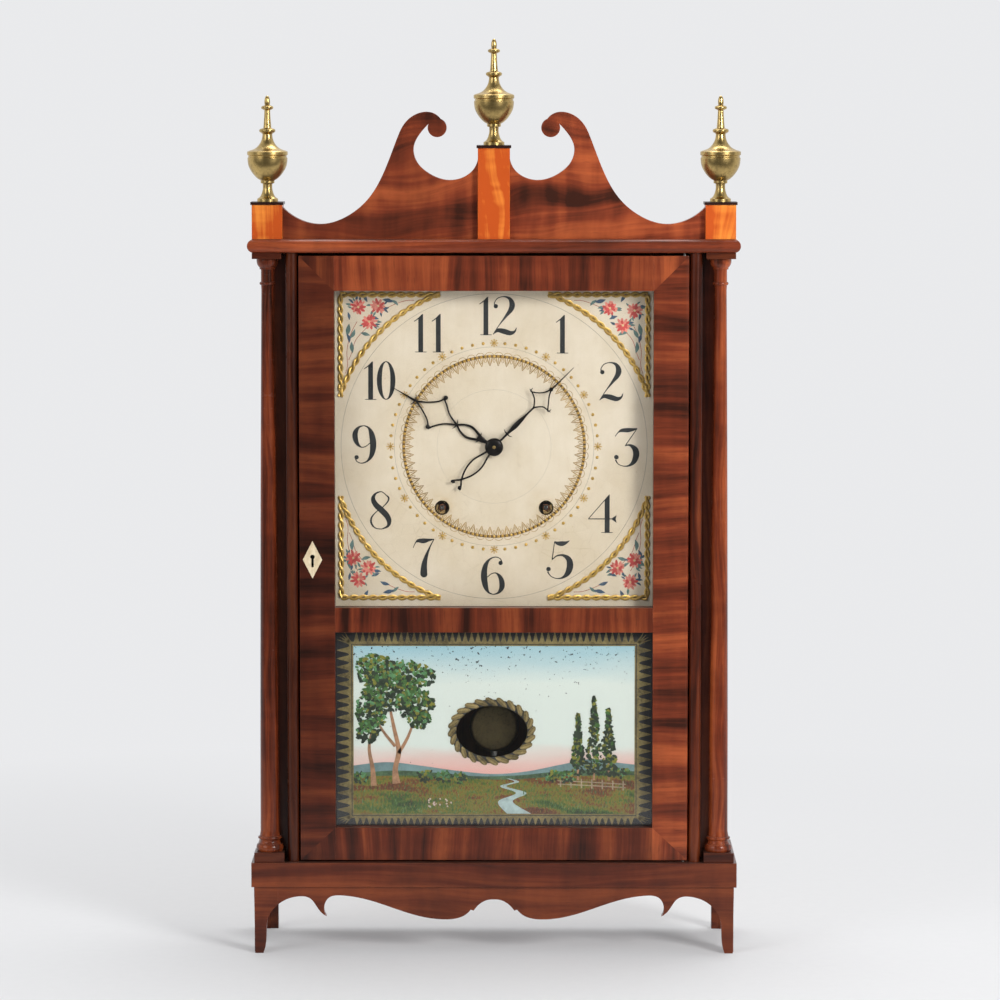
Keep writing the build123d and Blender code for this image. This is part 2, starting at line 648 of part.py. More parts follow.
# Urn and spire finial, turned about +Z from its foot at z = 0
with BuildPart() as turned_finial:
    with BuildSketch(Plane.XZ) as finial_profile:
        with BuildLine():
            Polyline((0, 0), (9.1, 0), (9.1, 2.6), (7.9, 3.4))
            Spline((7.9, 3.4), (5.4, 6.6), (4.05, 12.3), (4.2, 15.6), tangents=((-1, 0.6), (0.1, 1)))
            Polyline((4.2, 15.6), (6.0, 16.2), (6.0, 18.4), (6.6, 18.9))
            Spline((6.6, 18.9), (8.9, 20.3), (15.3, 28.3), (17.4, 38.0), tangents=((1, 0.4), (0.02, 1)))
            Polyline((17.4, 38.0), (16.7, 38.8), (16.7, 40.0), (17.7, 40.8), (17.7, 43.4), (16.0, 44.3))
            Spline((16.0, 44.3), (9.0, 47.6), (5.3, 53.0), (4.25, 58.7), tangents=((-1, 0.25), (-0.05, 1)))
            Line((4.25, 58.7), (5.6, 59.9))
            ThreePointArc((5.6, 59.9), (7.05, 61.6), (5.6, 63.3))
            Line((5.6, 63.3), (3.5, 64.0))
            Spline((3.5, 64.0), (2.9, 71.0), (2.5, 79.3))
            Line((2.5, 79.3), (4.2, 80.2))
            ThreePointArc((4.2, 80.2), (5.3, 81.6), (4.2, 83.0))
            Line((4.2, 83.0), (2.1, 83.8))
            Spline((2.1, 83.8), (2.4, 87.6), (1.4, 91.2), (0, 92.0), tangents=((0.4, 1), (-1, 0.1)))
            Line((0, 92.0), (0, 0))
        make_face()
    revolve(finial_profile.sketch, axis=Axis.Z)

with BuildPart() as finials:
    for middle, width, height in PLINTH_PLACES:
        with Locations((middle, PLINTH_FRONT + width / 2, TOP_Z + height + CAP_HEIGHT)):
            add(turned_finial.part)
save(finials, "finials")

# Door hung on two pins at its right edge
with BuildPart() as hinge_pins:
    post((PIN_X, PIN_Y), PIN_RADIUS, (BASE_TOP - PIN_IN_CASE, DOOR_FOOT + PIN_IN_DOOR - END_SHAKE))
    post((PIN_X, PIN_Y), PIN_RADIUS, (DOOR_HEAD - PIN_IN_DOOR + END_SHAKE, CORNICE_Z + PIN_IN_CASE))
save(hinge_pins, "hinge_pins")

OPENINGS_Z = ((TABLET_FOOT, TABLET_TOP), (DIAL_OPENING_FOOT, DIAL_OPENING_TOP))


def glass_rebates():
    """Cut the step behind each opening of the door that takes its glass."""
    for low, high in OPENINGS_Z:
        block(
            (-OPENING_X - REBATE, OPENING_X + REBATE),
            (GLASS_FRONT, DOOR_BACK + 1),
            (low - REBATE, high + REBATE),
            Mode.SUBTRACT,
        )


def escutcheon_shape():
    """Diamond plate, as a sketch on the door's front."""
    with BuildSketch(front_plane(DOOR_FRONT - END_SHAKE)) as shape:
        with Locations((ESCUTCHEON_X, ESCUTCHEON_Z)):
            Polygon(
                (-ESCUTCHEON_WIDTH / 2, 0),
                (0, -ESCUTCHEON_HEIGHT / 2),
                (ESCUTCHEON_WIDTH / 2, 0),
                (0, ESCUTCHEON_HEIGHT / 2),
                align=None,
            )
    return shape.sketch


def keyhole():
    """Cut the keyhole through the plate and the stile."""
    with BuildSketch(front_plane(DOOR_FRONT - 1)) as hole:
        with Locations((ESCUTCHEON_X, ESCUTCHEON_Z + 2.5)):
            Circle(2.0)
        with Locations((ESCUTCHEON_X, ESCUTCHEON_Z - 2.0)):
            Rectangle(2.0, 9.0)
    extrude(hole.sketch, amount=-(DOOR_THICKNESS + 1 + LOCK_WALL), mode=Mode.SUBTRACT)


with BuildPart() as door_stiles:
    for side in (-1, 1):
        block(
            sorted((side * OPENING_X, side * DOOR_HALF_WIDTH)),
            (DOOR_FRONT, DOOR_BACK),
            (DOOR_FOOT, DOOR_HEAD),
        )
    edges = door_stiles.edges().filter_by(Axis.Z)
    fillet(edges.group_by(Axis.Y)[0].sort_by(Axis.X)[-1], EDGE_ROUND)
    glass_rebates()
    extrude(escutcheon_shape(), amount=-ESCUTCHEON_THICKNESS, mode=Mode.SUBTRACT)
    keyhole()
    for low, high in ((DOOR_FOOT, DOOR_FOOT + PIN_IN_DOOR), (DOOR_HEAD - PIN_IN_DOOR, DOOR_HEAD)):
        post((PIN_X, PIN_Y), PIN_RADIUS + RUNNING_FIT, (low, high), Mode.SUBTRACT)
save(door_stiles, "door_stiles")

with BuildPart() as door_rails:
    rail_limits = ((DOOR_FOOT, TABLET_FOOT), (TABLET_TOP, DIAL_OPENING_FOOT), (DIAL_OPENING_TOP, DOOR_HEAD))
    for low, high in rail_limits:
        block((-OPENING_X, OPENING_X), (DOOR_FRONT, DOOR_BACK), (low, high))
    glass_rebates()
save(door_rails, "door_rails")

PANE_NAMES = ("tablet_glass", "dial_glass")
for pane_name, (low, high) in zip(PANE_NAMES, OPENINGS_Z):
    fit = REBATE - GLASS_CLEARANCE
    with BuildPart() as pane:
        block((-OPENING_X - fit, OPENING_X + fit), (GLASS_FRONT, GLASS_BACK), (low - fit, high + fit))
    save(pane, pane_name)

with BuildPart() as glazing_beads:
    for low, high in OPENINGS_Z:
        bead_y = (GLASS_BACK, DOOR_BACK)
        block((-OPENING_X - REBATE, OPENING_X + REBATE), bead_y, (low - REBATE, high + REBATE))
        block((-OPENING_X, OPENING_X), bead_y, (low, high), Mode.SUBTRACT)
save(glazing_beads, "glazing_beads")

with BuildPart() as escutcheon:
    extrude(escutcheon_shape(), amount=-ESCUTCHEON_THICKNESS)
    keyhole()
save(escutcheon, "escutcheon")

# Lock on the back of the left stile; its bolt shoots to the left into the bead
LOCK_X = (-DOOR_HALF_WIDTH + 2.0, -DOOR_HALF_WIDTH + 2.0 + LOCK_WIDTH)
BOLT_X = (-DOOR_HALF_WIDTH + 0.5, -DOOR_HALF_WIDTH + 0.5 + BOLT_LENGTH)
with BuildPart() as lock_case:
    block(
        LOCK_X,
        (DOOR_BACK, DOOR_BACK + LOCK_DEPTH),
        (ESCUTCHEON_Z - LOCK_HEIGHT / 2, ESCUTCHEON_Z + LOCK_HEIGHT / 2),
    )
    block(
        (LOCK_X[0] - 1, BOLT_X[1] + BOLT_CLEARANCE),
        (BOLT_Y[0] - BOLT_CLEARANCE, BOLT_Y[1] + BOLT_CLEARANCE),
        (BOLT_Z[0] - BOLT_CLEARANCE, BOLT_Z[1] + BOLT_CLEARANCE),
        Mode.SUBTRACT,
    )
    keyhole()
save(lock_case, "lock_case")

with BuildPart() as lock_bolt:
    block(BOLT_X, BOLT_Y, BOLT_Z)
save(lock_bolt, "lock_bolt")

# Dial, its posts and the two winding hole bushes
with BuildPart() as dial_board:
    block(
        (-DIAL_HALF_WIDTH, DIAL_HALF_WIDTH),
        (DIAL_FRONT, DIAL_BACK),
        (DIAL_OPENING_FOOT - DIAL_LAP, DIAL_OPENING_TOP + DIAL_LAP),
    )
    rod(CENTRE, CENTRE_HOLE_RADIUS, (DIAL_FRONT - 1, DIAL_BACK + 1), Mode.SUBTRACT)
    for place in (TIME_DRUM, STRIKE_DRUM):
        rod(place, BUSH_RADIUS, (DIAL_FRONT - 1, DIAL_BACK + 1), Mode.SUBTRACT)
save(dial_board, "dial_board")

with BuildPart() as winding_bushes:
    for place in (TIME_DRUM, STRIKE_DRUM):
        rod(place, BUSH_RADIUS, (DIAL_FRONT - BUSH_STAND, DIAL_BACK))
        rod(place, WINDING_HOLE_RADIUS, (DIAL_FRONT - 2, DIAL_BACK + 1), Mode.SUBTRACT)
save(winding_bushes, "winding_bushes")

with BuildPart() as inner_rails:
    for side in (-1, 1):
        post_x = (side * (DIAL_HALF_WIDTH - DIAL_POST_WIDTH / 2), side * (DIAL_HALF_WIDTH + DIAL_POST_WIDTH / 2))
        block(sorted(post_x), (DIAL_BACK, DIAL_BACK + DIAL_POST_DEPTH), (BASE_TOP, CORNICE_Z))
        rail_x = (side * MOUNT_RAIL_X - MOUNT_RAIL_WIDTH / 2, side * MOUNT_RAIL_X + MOUNT_RAIL_WIDTH / 2)
        block(
            rail_x,
            (BACK_PLATE_BACK, BACK_FRONT),
            (DIAL_Z - PLATE_DROP - MOUNT_RAIL_OVERHANG, DIAL_Z + PLATE_RISE + MOUNT_RAIL_OVERHANG),
        )
save(inner_rails, "inner_rails")

with BuildPart() as weight_partitions:
    for side in (-1, 1):
        block(
            (side * PARTITION_X - PARTITION_THICKNESS / 2, side * PARTITION_X + PARTITION_THICKNESS / 2),
            (BACK_FRONT - PARTITION_DEPTH, BACK_FRONT),
            (BASE_TOP, BASE_TOP + PARTITION_HEIGHT),
        )
save(weight_partitions, "weight_partitions")

# Movement plates with the holes that their arbors need
PLATE_Z = (DIAL_Z - PLATE_DROP, DIAL_Z + PLATE_RISE)
FRONT_PLATE_Y = (FRONT_PLATE_FRONT, FRONT_PLATE_BACK)
BACK_PLATE_Y = (BACK_PLATE_FRONT, BACK_PLATE_BACK)
PILLAR_PLACES = [
    (side * offset[0], DIAL_Z + offset[1]) for side in (-1, 1) for offset in (PILLAR_LOW, PILLAR_HIGH)
]
PIVOTED = (SECOND, THIRD, WARNING, FLY, HAMMER)
THROUGH_SMALL = (ESCAPE, PIN_WHEEL)
THROUGH_LARGE = (CENTRE, TIME_DRUM, STRIKE_DRUM)
STUD_PLACES = ((VERGE, ROD_Y - 3.5), (MINUTE_WHEEL, HOUR_WHEEL_Y - 1.0), (COUNT_WHEEL, COUNT_WHEEL_Y - 0.8))

with BuildPart() as front_plate:
    block((-PLATE_HALF_WIDTH, PLATE_HALF_WIDTH), FRONT_PLATE_Y, PLATE_Z)
    for place in PIVOTED + THROUGH_SMALL:
        pivot_hole(place, PIVOT_RADIUS, FRONT_PLATE_Y)
    for place in THROUGH_LARGE:
        pivot_hole(place, CENTRE_RADIUS, FRONT_PLATE_Y)
    for place in PILLAR_PLACES:
        rod(place, PILLAR_TENON, FRONT_PLATE_Y, Mode.SUBTRACT)
    for place, stud_end in STUD_PLACES:
        rod(place, STUD_RADIUS, (stud_end, FRONT_PLATE_FRONT))
save(front_plate, "front_plate")

with BuildPart() as back_plate:
    block((-PLATE_HALF_WIDTH, PLATE_HALF_WIDTH), BACK_PLATE_Y, PLATE_Z)
    for place in PIVOTED + THROUGH_SMALL + THROUGH_LARGE:
        pivot_hole(place, PIVOT_RADIUS, BACK_PLATE_Y)
    for place in PILLAR_PLACES:
        rod(place, PILLAR_TENON, BACK_PLATE_Y, Mode.SUBTRACT)
save(back_plate, "back_plate")

with BuildPart() as pillars:
    for place in PILLAR_PLACES:
        rod(place, PILLAR_RADIUS, (FRONT_PLATE_BACK, BACK_PLATE_FRONT))
        rod(place, PILLAR_TENON, (FRONT_PLATE_FRONT, BACK_PLATE_BACK))
save(pillars, "pillars")


def gap_facing(place, other, teeth):
    """Angle that centres a gap on the line towards the other arbor."""
    return direction(place, other) + 180 / teeth


def span(y, thickness, margin=0.0):
    """Depth limits of a wheel whose front face is at y, wider by a margin each way."""
    return (y - margin, y + thickness + margin)


PINION_MARGIN = 0.5

# Going train
with BuildPart() as centre_arbor:
    arbor(CENTRE, CENTRE_RADIUS)
    rod(CENTRE, CENTRE_RADIUS, (MINUTE_HAND_BACK - HAND_THICKNESS, FRONT_PLATE_BACK + 1))
    wheel(CENTRE, CENTRE_TEETH, MODULE_TRAIN, direction(CENTRE, THIRD), span(CENTRE_WHEEL_Y, WHEEL_THICKNESS),
          windows=6)
    wheel(CENTRE, CENTRE_PINION, MODULE_GREAT, gap_facing(CENTRE, SECOND, CENTRE_PINION),
          span(SECOND_WHEEL_Y, WHEEL_THICKNESS, 0.4))
    wheel(CENTRE, CANNON_TEETH, MODULE_TRAIN, direction(CENTRE, MINUTE_WHEEL),
          span(CANNON_Y, THIN_WHEEL, 0.4))
save(centre_arbor, "centre_arbor")

with BuildPart() as second_arbor:
    arbor(SECOND)
    wheel(SECOND, SECOND_TEETH, MODULE_GREAT, direction(SECOND, CENTRE), span(SECOND_WHEEL_Y, WHEEL_THICKNESS),
          windows=4)
    wheel(SECOND, SECOND_PINION, MODULE_GREAT, gap_facing(SECOND, TIME_DRUM, SECOND_PINION),
          span(GREAT_Y, GREAT_THICKNESS, PINION_MARGIN))
save(second_arbor, "second_arbor")

with BuildPart() as third_arbor:
    arbor(THIRD)
    wheel(THIRD, THIRD_TEETH, MODULE_TRAIN, direction(THIRD, ESCAPE), span(THIRD_WHEEL_Y, WHEEL_THICKNESS),
          windows=6)
    wheel(THIRD, THIRD_PINION, MODULE_TRAIN, gap_facing(THIRD, CENTRE, THIRD_PINION),
          span(CENTRE_WHEEL_Y, WHEEL_THICKNESS, PINION_MARGIN))
save(third_arbor, "third_arbor")

with BuildPart() as escape_arbor:
    arbor(ESCAPE)
    rod(ESCAPE, PIVOT_RADIUS, (ESCAPE_WHEEL_Y, FRONT_PLATE_BACK))
    wheel(ESCAPE, ESCAPE_PINION, MODULE_TRAIN, gap_facing(ESCAPE, THIRD, ESCAPE_PINION),
          span(THIRD_WHEEL_Y, WHEEL_THICKNESS, 0.2))
    wheel(ESCAPE, ESCAPE_TEETH, MODULE_ESCAPE, 0.0, span(ESCAPE_WHEEL_Y, THIN_WHEEL), windows=5)
save(escape_arbor, "escape_arbor")

# Motion work behind the dial
with BuildPart() as minute_wheel:
    wheel(MINUTE_WHEEL, MINUTE_TEETH, MODULE_TRAIN, gap_facing(MINUTE_WHEEL, CENTRE, MINUTE_TEETH),
          span(CANNON_Y, THIN_WHEEL), STUD_RADIUS + RUNNING_FIT, 4)
    wheel(MINUTE_WHEEL, MINUTE_PINION, MODULE_HOUR, direction(MINUTE_WHEEL, CENTRE),
          (HOUR_WHEEL_Y - 0.2, CANNON_Y), STUD_RADIUS + RUNNING_FIT)
save(minute_wheel, "minute_wheel")

with BuildPart() as hour_wheel:
    wheel(CENTRE, HOUR_TEETH, MODULE_HOUR, gap_facing(CENTRE, MINUTE_WHEEL, HOUR_TEETH),
          span(HOUR_WHEEL_Y, THIN_WHEEL))
    rod(CENTRE, HOUR_PIPE_RADIUS, (HOUR_HAND_BACK - HAND_THICKNESS, HOUR_WHEEL_Y))
    rod(CENTRE, CENTRE_RADIUS + RUNNING_FIT, (HOUR_HAND_BACK - 3, FRONT_PLATE_FRONT), Mode.SUBTRACT)
save(hour_wheel, "hour_wheel")


def hand_plane(back, angle):
    """Sketch plane on a hand's back, with its x axis along the hand."""
    return Plane(
        origin=(CENTRE[0], back, CENTRE[1]),
        x_dir=(cos(radians(angle)), 0, sin(radians(angle))),
        z_dir=(0, -1, 0),
    )


with BuildPart() as hour_hand:
    with BuildSketch(hand_plane(HOUR_HAND_BACK, HOUR_HAND_ANGLE)) as hour_shape:
        Circle(7.0)
        Polygon((5.0, -2.4), (18.0, -1.6), (18.0, 1.6), (5.0, 2.4), align=None)
        with Locations((27.0, 0)):
            Ellipse(11.0, 5.0)
            Ellipse(9.2, 3.2, mode=Mode.SUBTRACT)
        with BuildLine():
            Polyline((36.6, 0), (58.7, 14.5), (79.0, 0), (58.7, -14.5), close=True)
        make_face()
        Polygon((42.0, 0), (58.7, 11.5), (75.5, 0), (58.7, -11.5), align=None, mode=Mode.SUBTRACT)
        Polygon((78.0, -1.5), (HOUR_HAND_LENGTH, -0.4), (HOUR_HAND_LENGTH, 0.4), (78.0, 1.5), align=None)
        Circle(HOUR_PIPE_RADIUS, mode=Mode.SUBTRACT)
    extrude(hour_shape.sketch, amount=HAND_THICKNESS)
save(hour_hand, "hour_hand")

with BuildPart() as minute_hand:
    with BuildSketch(hand_plane(MINUTE_HAND_BACK, MINUTE_HAND_ANGLE)) as minute_shape:
        Circle(BOSS_RADIUS)
        Polygon((5.0, -1.5), (25.7, -4.0), (49.4, -0.9), (49.4, 0.9), (25.7, 4.0), (5.0, 1.5), align=None)
        Polygon((48.4, 0), (57.4, 12.4), (71.2, 0), (57.4, -12.4), align=None)
        Polygon((52.0, 0), (58.0, 8.4), (67.4, 0), (58.0, -8.4), align=None, mode=Mode.SUBTRACT)
        Polygon((70.2, -1.3), (MINUTE_HAND_LENGTH, -0.4), (MINUTE_HAND_LENGTH, 0.4), (70.2, 1.3), align=None)
        with Locations((-25.0, 0)):
            Ellipse(18.5, 7.5)
            Ellipse(16.7, 5.7, mode=Mode.SUBTRACT)
        Circle(CENTRE_RADIUS, mode=Mode.SUBTRACT)
    extrude(minute_shape.sketch, amount=HAND_THICKNESS)
    boss_y = MINUTE_HAND_BACK - HAND_THICKNESS
    rod(CENTRE, BOSS_RADIUS, (boss_y - BOSS_HEIGHT, boss_y))
    boss_rim = minute_hand.edges().filter_by(GeomType.CIRCLE).group_by(Axis.Y)[0]
    fillet(boss_rim, BOSS_HEIGHT * 0.8)
save(minute_hand, "minute_hand")

# Escapement: verge and pendulum swing together on one stud
with BuildPart() as verge:
    verge_y = span(ESCAPE_WHEEL_Y, THIN_WHEEL, 0.6)
    rod(VERGE, 4.0, (verge_y[0] - 1.0, verge_y[1]))
    with BuildSketch(front_plane(verge_y[0])) as anchor:
        tip = away(ESCAPE, PALLET_RADIUS, 90 + PALLET_SPREAD)
        shoulder = (tip[0] - 2.2, tip[1] + 4.4)
        Polygon(
            (VERGE[0], VERGE[1] + 2.6),
            shoulder,
            tip,
            (tip[0] + 1.8, tip[1] + 2.6),
            (VERGE[0], VERGE[1] - 2.6),
            align=None,
        )
        mirror(about=Plane.YZ)
    extrude(anchor.sketch, amount=-(verge_y[1] - verge_y[0]))
    crutch_z = VERGE[1] - 28.0
    block((-1.2, 1.2), (verge_y[0] - 2.0, verge_y[0] - 0.8), (crutch_z, VERGE[1]))
    block((-3.0, 3.0), (verge_y[0] - 2.0, verge_y[0] - 0.8), (crutch_z, crutch_z + 1.6))
    for side in (-1, 1):
        rod((side * 2.2, crutch_z + 0.8), 0.6, (ROD_Y - 2.0, verge_y[0] - 0.8))
    rod(VERGE, STUD_RADIUS + RUNNING_FIT, (ROD_Y - 3, FRONT_PLATE_FRONT), Mode.SUBTRACT)
save(verge, "verge")

BOB = (0.0, VERGE[1] - PENDULUM_LENGTH)
with BuildPart() as pendulum_rod:
    rod(VERGE, 3.4, (ROD_Y - 1.6, ROD_Y + 1.6))
    post((0, ROD_Y), ROD_RADIUS, (BOB[1] - BOB_RADIUS - 6.0, VERGE[1] - 2.4))
    post((0, ROD_Y), 3.2, (BOB[1] - BOB_RADIUS - 4.0, BOB[1] - BOB_RADIUS))
    rod(VERGE, STUD_RADIUS + RUNNING_FIT, (ROD_Y - 3, ROD_Y + 3), Mode.SUBTRACT)
save(pendulum_rod, "pendulum_rod")

with BuildPart() as pendulum_bob:
    rod(BOB, BOB_RADIUS, (ROD_Y - BOB_THICKNESS / 2, ROD_Y + BOB_THICKNESS / 2))
    fillet(pendulum_bob.edges().filter_by(GeomType.CIRCLE), BOB_THICKNESS * 0.4)
    post((0, ROD_Y), ROD_RADIUS, (BOB[1] - BOB_RADIUS - 1, BOB[1] + BOB_RADIUS + 1), Mode.SUBTRACT)
save(pendulum_bob, "pendulum_bob")

# Winding drums, each with a great wheel that turns on its arbor
DRUM_SIDES = (("time", TIME_DRUM, SECOND), ("strike", STRIKE_DRUM, PIN_WHEEL))
for side_name, place, driven in DRUM_SIDES:
    with BuildPart() as great_wheel:
        wheel(place, GREAT_TEETH, MODULE_GREAT, direction(place, driven), span(GREAT_Y, GREAT_THICKNESS),
              CENTRE_RADIUS + RUNNING_FIT, 6)
    save(great_wheel, f"{side_name}_great_wheel")

    with BuildPart() as drum:
        arbor(place, CENTRE_RADIUS)
        rod(place, CENTRE_RADIUS, (DIAL_BACK - DIAL_THICKNESS / 2, FRONT_PLATE_BACK + 1))
        rod(place, DRUM_RADIUS, span(DRUM_Y, DRUM_LENGTH))
        for flange_y in (DRUM_Y, DRUM_Y + DRUM_LENGTH - 1.5):
            rod(place, DRUM_FLANGE, span(flange_y, 1.5))
    save(drum, f"{side_name}_drum")

# Striking train
with BuildPart() as pin_wheel:
    arbor(PIN_WHEEL)
    rod(PIN_WHEEL, PIVOT_RADIUS, (COUNT_WHEEL_Y, FRONT_PLATE_BACK))
    wheel(PIN_WHEEL, PIN_TEETH, MODULE_TRAIN, direction(PIN_WHEEL, WARNING), span(PIN_WHEEL_Y, WHEEL_THICKNESS))
    wheel(PIN_WHEEL, PIN_PINION, MODULE_GREAT, gap_facing(PIN_WHEEL, STRIKE_DRUM, PIN_PINION),
          span(GREAT_Y, GREAT_THICKNESS, PINION_MARGIN))
    wheel(PIN_WHEEL, COUNT_PINION, MODULE_HOUR, direction(PIN_WHEEL, COUNT_WHEEL),
          span(COUNT_WHEEL_Y, THIN_WHEEL, 0.3))
    for count in range(LIFTING_PINS):
        pin = away(PIN_WHEEL, LIFTING_PIN_CIRCLE, count * 360 / LIFTING_PINS)
        rod(pin, 0.9, span(PIN_WHEEL_Y + WHEEL_THICKNESS, 2.8))
save(pin_wheel, "pin_wheel")

with BuildPart() as count_wheel:
    wheel(COUNT_WHEEL, COUNT_TEETH, MODULE_HOUR, gap_facing(COUNT_WHEEL, PIN_WHEEL, COUNT_TEETH),
          span(COUNT_WHEEL_Y, THIN_WHEEL), STUD_RADIUS + RUNNING_FIT, 5)
save(count_wheel, "count_wheel")

with BuildPart() as warning_wheel:
    arbor(WARNING)
    wheel(WARNING, WARNING_TEETH, MODULE_TRAIN, direction(WARNING, FLY), span(WARNING_WHEEL_Y, THIN_WHEEL),
          windows=4)
    wheel(WARNING, WARNING_PINION, MODULE_TRAIN, gap_facing(WARNING, PIN_WHEEL, WARNING_PINION),
          span(PIN_WHEEL_Y, WHEEL_THICKNESS, PINION_MARGIN))
save(warning_wheel, "warning_wheel")

with BuildPart() as fly:
    arbor(FLY, 1.6)
    wheel(FLY, FLY_PINION, MODULE_TRAIN, gap_facing(FLY, WARNING, FLY_PINION),
          span(WARNING_WHEEL_Y, THIN_WHEEL, PINION_MARGIN))
    block(
        (FLY[0] - FLY_SPAN, FLY[0] + FLY_SPAN),
        (WARNING_WHEEL_Y + 8.0, WARNING_WHEEL_Y + 22.0),
        (FLY[1] - 0.5, FLY[1] + 0.5),
    )
save(fly, "fly")

# Bell under the movement, with its hammer hanging beside the rim
BELL_MOUTH = DIAL_Z - BELL_MOUTH_DROP
BELL_CROWN = BELL_MOUTH + BELL_RISE
with BuildPart() as bell:
    with BuildSketch(Plane.XZ) as bell_profile:
        with BuildLine():
            rim = (BELL_RADIUS, BELL_MOUTH)
            crown = (8.0, BELL_CROWN)
            Spline(rim, (BELL_RADIUS - 1.6, BELL_MOUTH + 11.0), (BELL_RADIUS - 10.0, BELL_CROWN - 5.0), crown)
            Polyline(crown, (BELL_BOLT_RADIUS, BELL_CROWN), (BELL_BOLT_RADIUS, BELL_CROWN - BELL_WALL),
                     (8.0, BELL_CROWN - BELL_WALL))
            Spline((8.0, BELL_CROWN - BELL_WALL), (BELL_RADIUS - 11.0, BELL_CROWN - 5.0 - BELL_WALL),
                   (BELL_RADIUS - 1.6 - BELL_WALL, BELL_MOUTH + 10.4), (BELL_RADIUS - BELL_WALL, BELL_MOUTH))
            Line((BELL_RADIUS - BELL_WALL, BELL_MOUTH), rim)
        make_face()
    revolve(bell_profile.sketch, axis=Axis.Z)
bell.part.locate(Location((BELL_X, CORD_Y, 0)))
save(bell, "bell")

with BuildPart() as bell_stand:
    block((BELL_X - 4, BELL_X + 4), (CORD_Y - 5, BACK_FRONT), (BELL_CROWN + 3, BELL_CROWN + 9))
    post((BELL_X, CORD_Y), BELL_BOLT_RADIUS, (BELL_CROWN - BELL_WALL - 3, BELL_CROWN + 3))
    post((BELL_X, CORD_Y), 5.0, (BELL_CROWN, BELL_CROWN + 3))
    post((BELL_X, CORD_Y), 4.0, (BELL_CROWN - BELL_WALL - 3, BELL_CROWN - BELL_WALL))
save(bell_stand, "bell_stand")

HEAD_Z = BELL_MOUTH + 3.0
HEAD_X = BELL_X - BELL_RADIUS - HAMMER_GAP - HAMMER_HEAD_LENGTH
with BuildPart() as hammer:
    arbor(HAMMER)
    head_place = Location((HEAD_X + HAMMER_HEAD_LENGTH / 2, CORD_Y, HEAD_Z), (0, 90, 0))
    with Locations(head_place):
        Cylinder(HAMMER_HEAD_RADIUS, HAMMER_HEAD_LENGTH)
    with BuildSketch(front_plane(CORD_Y - HAMMER_ARM_RADIUS)) as arm_shape:
        arm_end = (HEAD_X + HAMMER_HEAD_LENGTH / 2, HEAD_Z)
        Polygon(
            (HAMMER[0] - HAMMER_ARM_RADIUS, HAMMER[1]),
            (HAMMER[0] + HAMMER_ARM_RADIUS, HAMMER[1]),
            (arm_end[0] + HAMMER_ARM_RADIUS, arm_end[1]),
            (arm_end[0] - HAMMER_ARM_RADIUS, arm_end[1]),
            align=None,
        )
    extrude(arm_shape.sketch, amount=-2 * HAMMER_ARM_RADIUS)
    with BuildSketch(front_plane(PIN_WHEEL_Y + WHEEL_THICKNESS + 0.6)) as tail_shape:
        tail_end = away(PIN_WHEEL, LIFTING_PIN_CIRCLE + 3.6, direction(PIN_WHEEL, HAMMER) + 12)
        Polygon(
            (HAMMER[0] - 1.6, HAMMER[1] + 0.6),
            (HAMMER[0] + 1.6, HAMMER[1] - 0.6),
            (tail_end[0] + 1.2, tail_end[1] - 0.6),
            (tail_end[0] - 1.2, tail_end[1] + 0.6),
            align=None,
        )
    extrude(tail_shape.sketch, amount=-2.4)
save(hammer, "hammer")

# Pulleys, weights and cords, the time side on the right and the strike side on the left
PULLEY_Z = CORNICE_Z - PULLEY_DROP
PULLEY_Y = (CORD_Y - PULLEY_THICKNESS / 2, CORD_Y + PULLEY_THICKNESS / 2)
CORD_REACH = PULLEY_RADIUS + CORD_CLEARANCE + CORD_RADIUS
WEIGHT_X = PULLEY_X + CORD_REACH
WEIGHT_FOOT = BASE_TOP + WEIGHT_REST_GAP
HOOK_TOP = WEIGHT_FOOT + WEIGHT_HEIGHT + HOOK_HEIGHT
for side_name, side in (("time", 1), ("strike", -1)):
    with BuildPart() as pulley:
        place = (side * PULLEY_X, PULLEY_Z)
        rod(place, PULLEY_RADIUS, PULLEY_Y)
        flange = (PULLEY_THICKNESS - PULLEY_GROOVE) / 2
        rod(place, PULLEY_FLANGE, (PULLEY_Y[0], PULLEY_Y[0] + flange))
        rod(place, PULLEY_FLANGE, (PULLEY_Y[1] - flange, PULLEY_Y[1]))
        rod(place, PULLEY_BORE + RUNNING_FIT, (PULLEY_Y[0] - 1, PULLEY_Y[1] + 1), Mode.SUBTRACT)
    save(pulley, f"{side_name}_pulley")

    with BuildPart() as weight:
        post((side * WEIGHT_X, CORD_Y), WEIGHT_RADIUS, (WEIGHT_FOOT, WEIGHT_FOOT + WEIGHT_HEIGHT))
        post((side * WEIGHT_X, CORD_Y), HOOK_RADIUS, (WEIGHT_FOOT + WEIGHT_HEIGHT, HOOK_TOP))
    save(weight, f"{side_name}_weight")

    with BuildPart() as cord_drop:
        post((side * WEIGHT_X, CORD_Y), CORD_RADIUS, (HOOK_TOP, PULLEY_Z))
    save(cord_drop, f"{side_name}_cord_drop")

with BuildPart() as pulley_brackets:
    for side in (-1, 1):
        cheek_x = (side * PULLEY_X - BRACKET_HALF_WIDTH, side * PULLEY_X + BRACKET_HALF_WIDTH)
        cheek_z = (PULLEY_Z - 6.0, CORNICE_Z)
        near = PULLEY_Y[0] - 0.5
        far = PULLEY_Y[1] + 0.5
        block(cheek_x, (near - BRACKET_CHEEK, near), cheek_z)
        block(cheek_x, (far, far + BRACKET_CHEEK), cheek_z)
        rod((side * PULLEY_X, PULLEY_Z), PULLEY_BORE, (near - BRACKET_CHEEK, far + BRACKET_CHEEK))
save(pulley_brackets, "pulley_brackets")

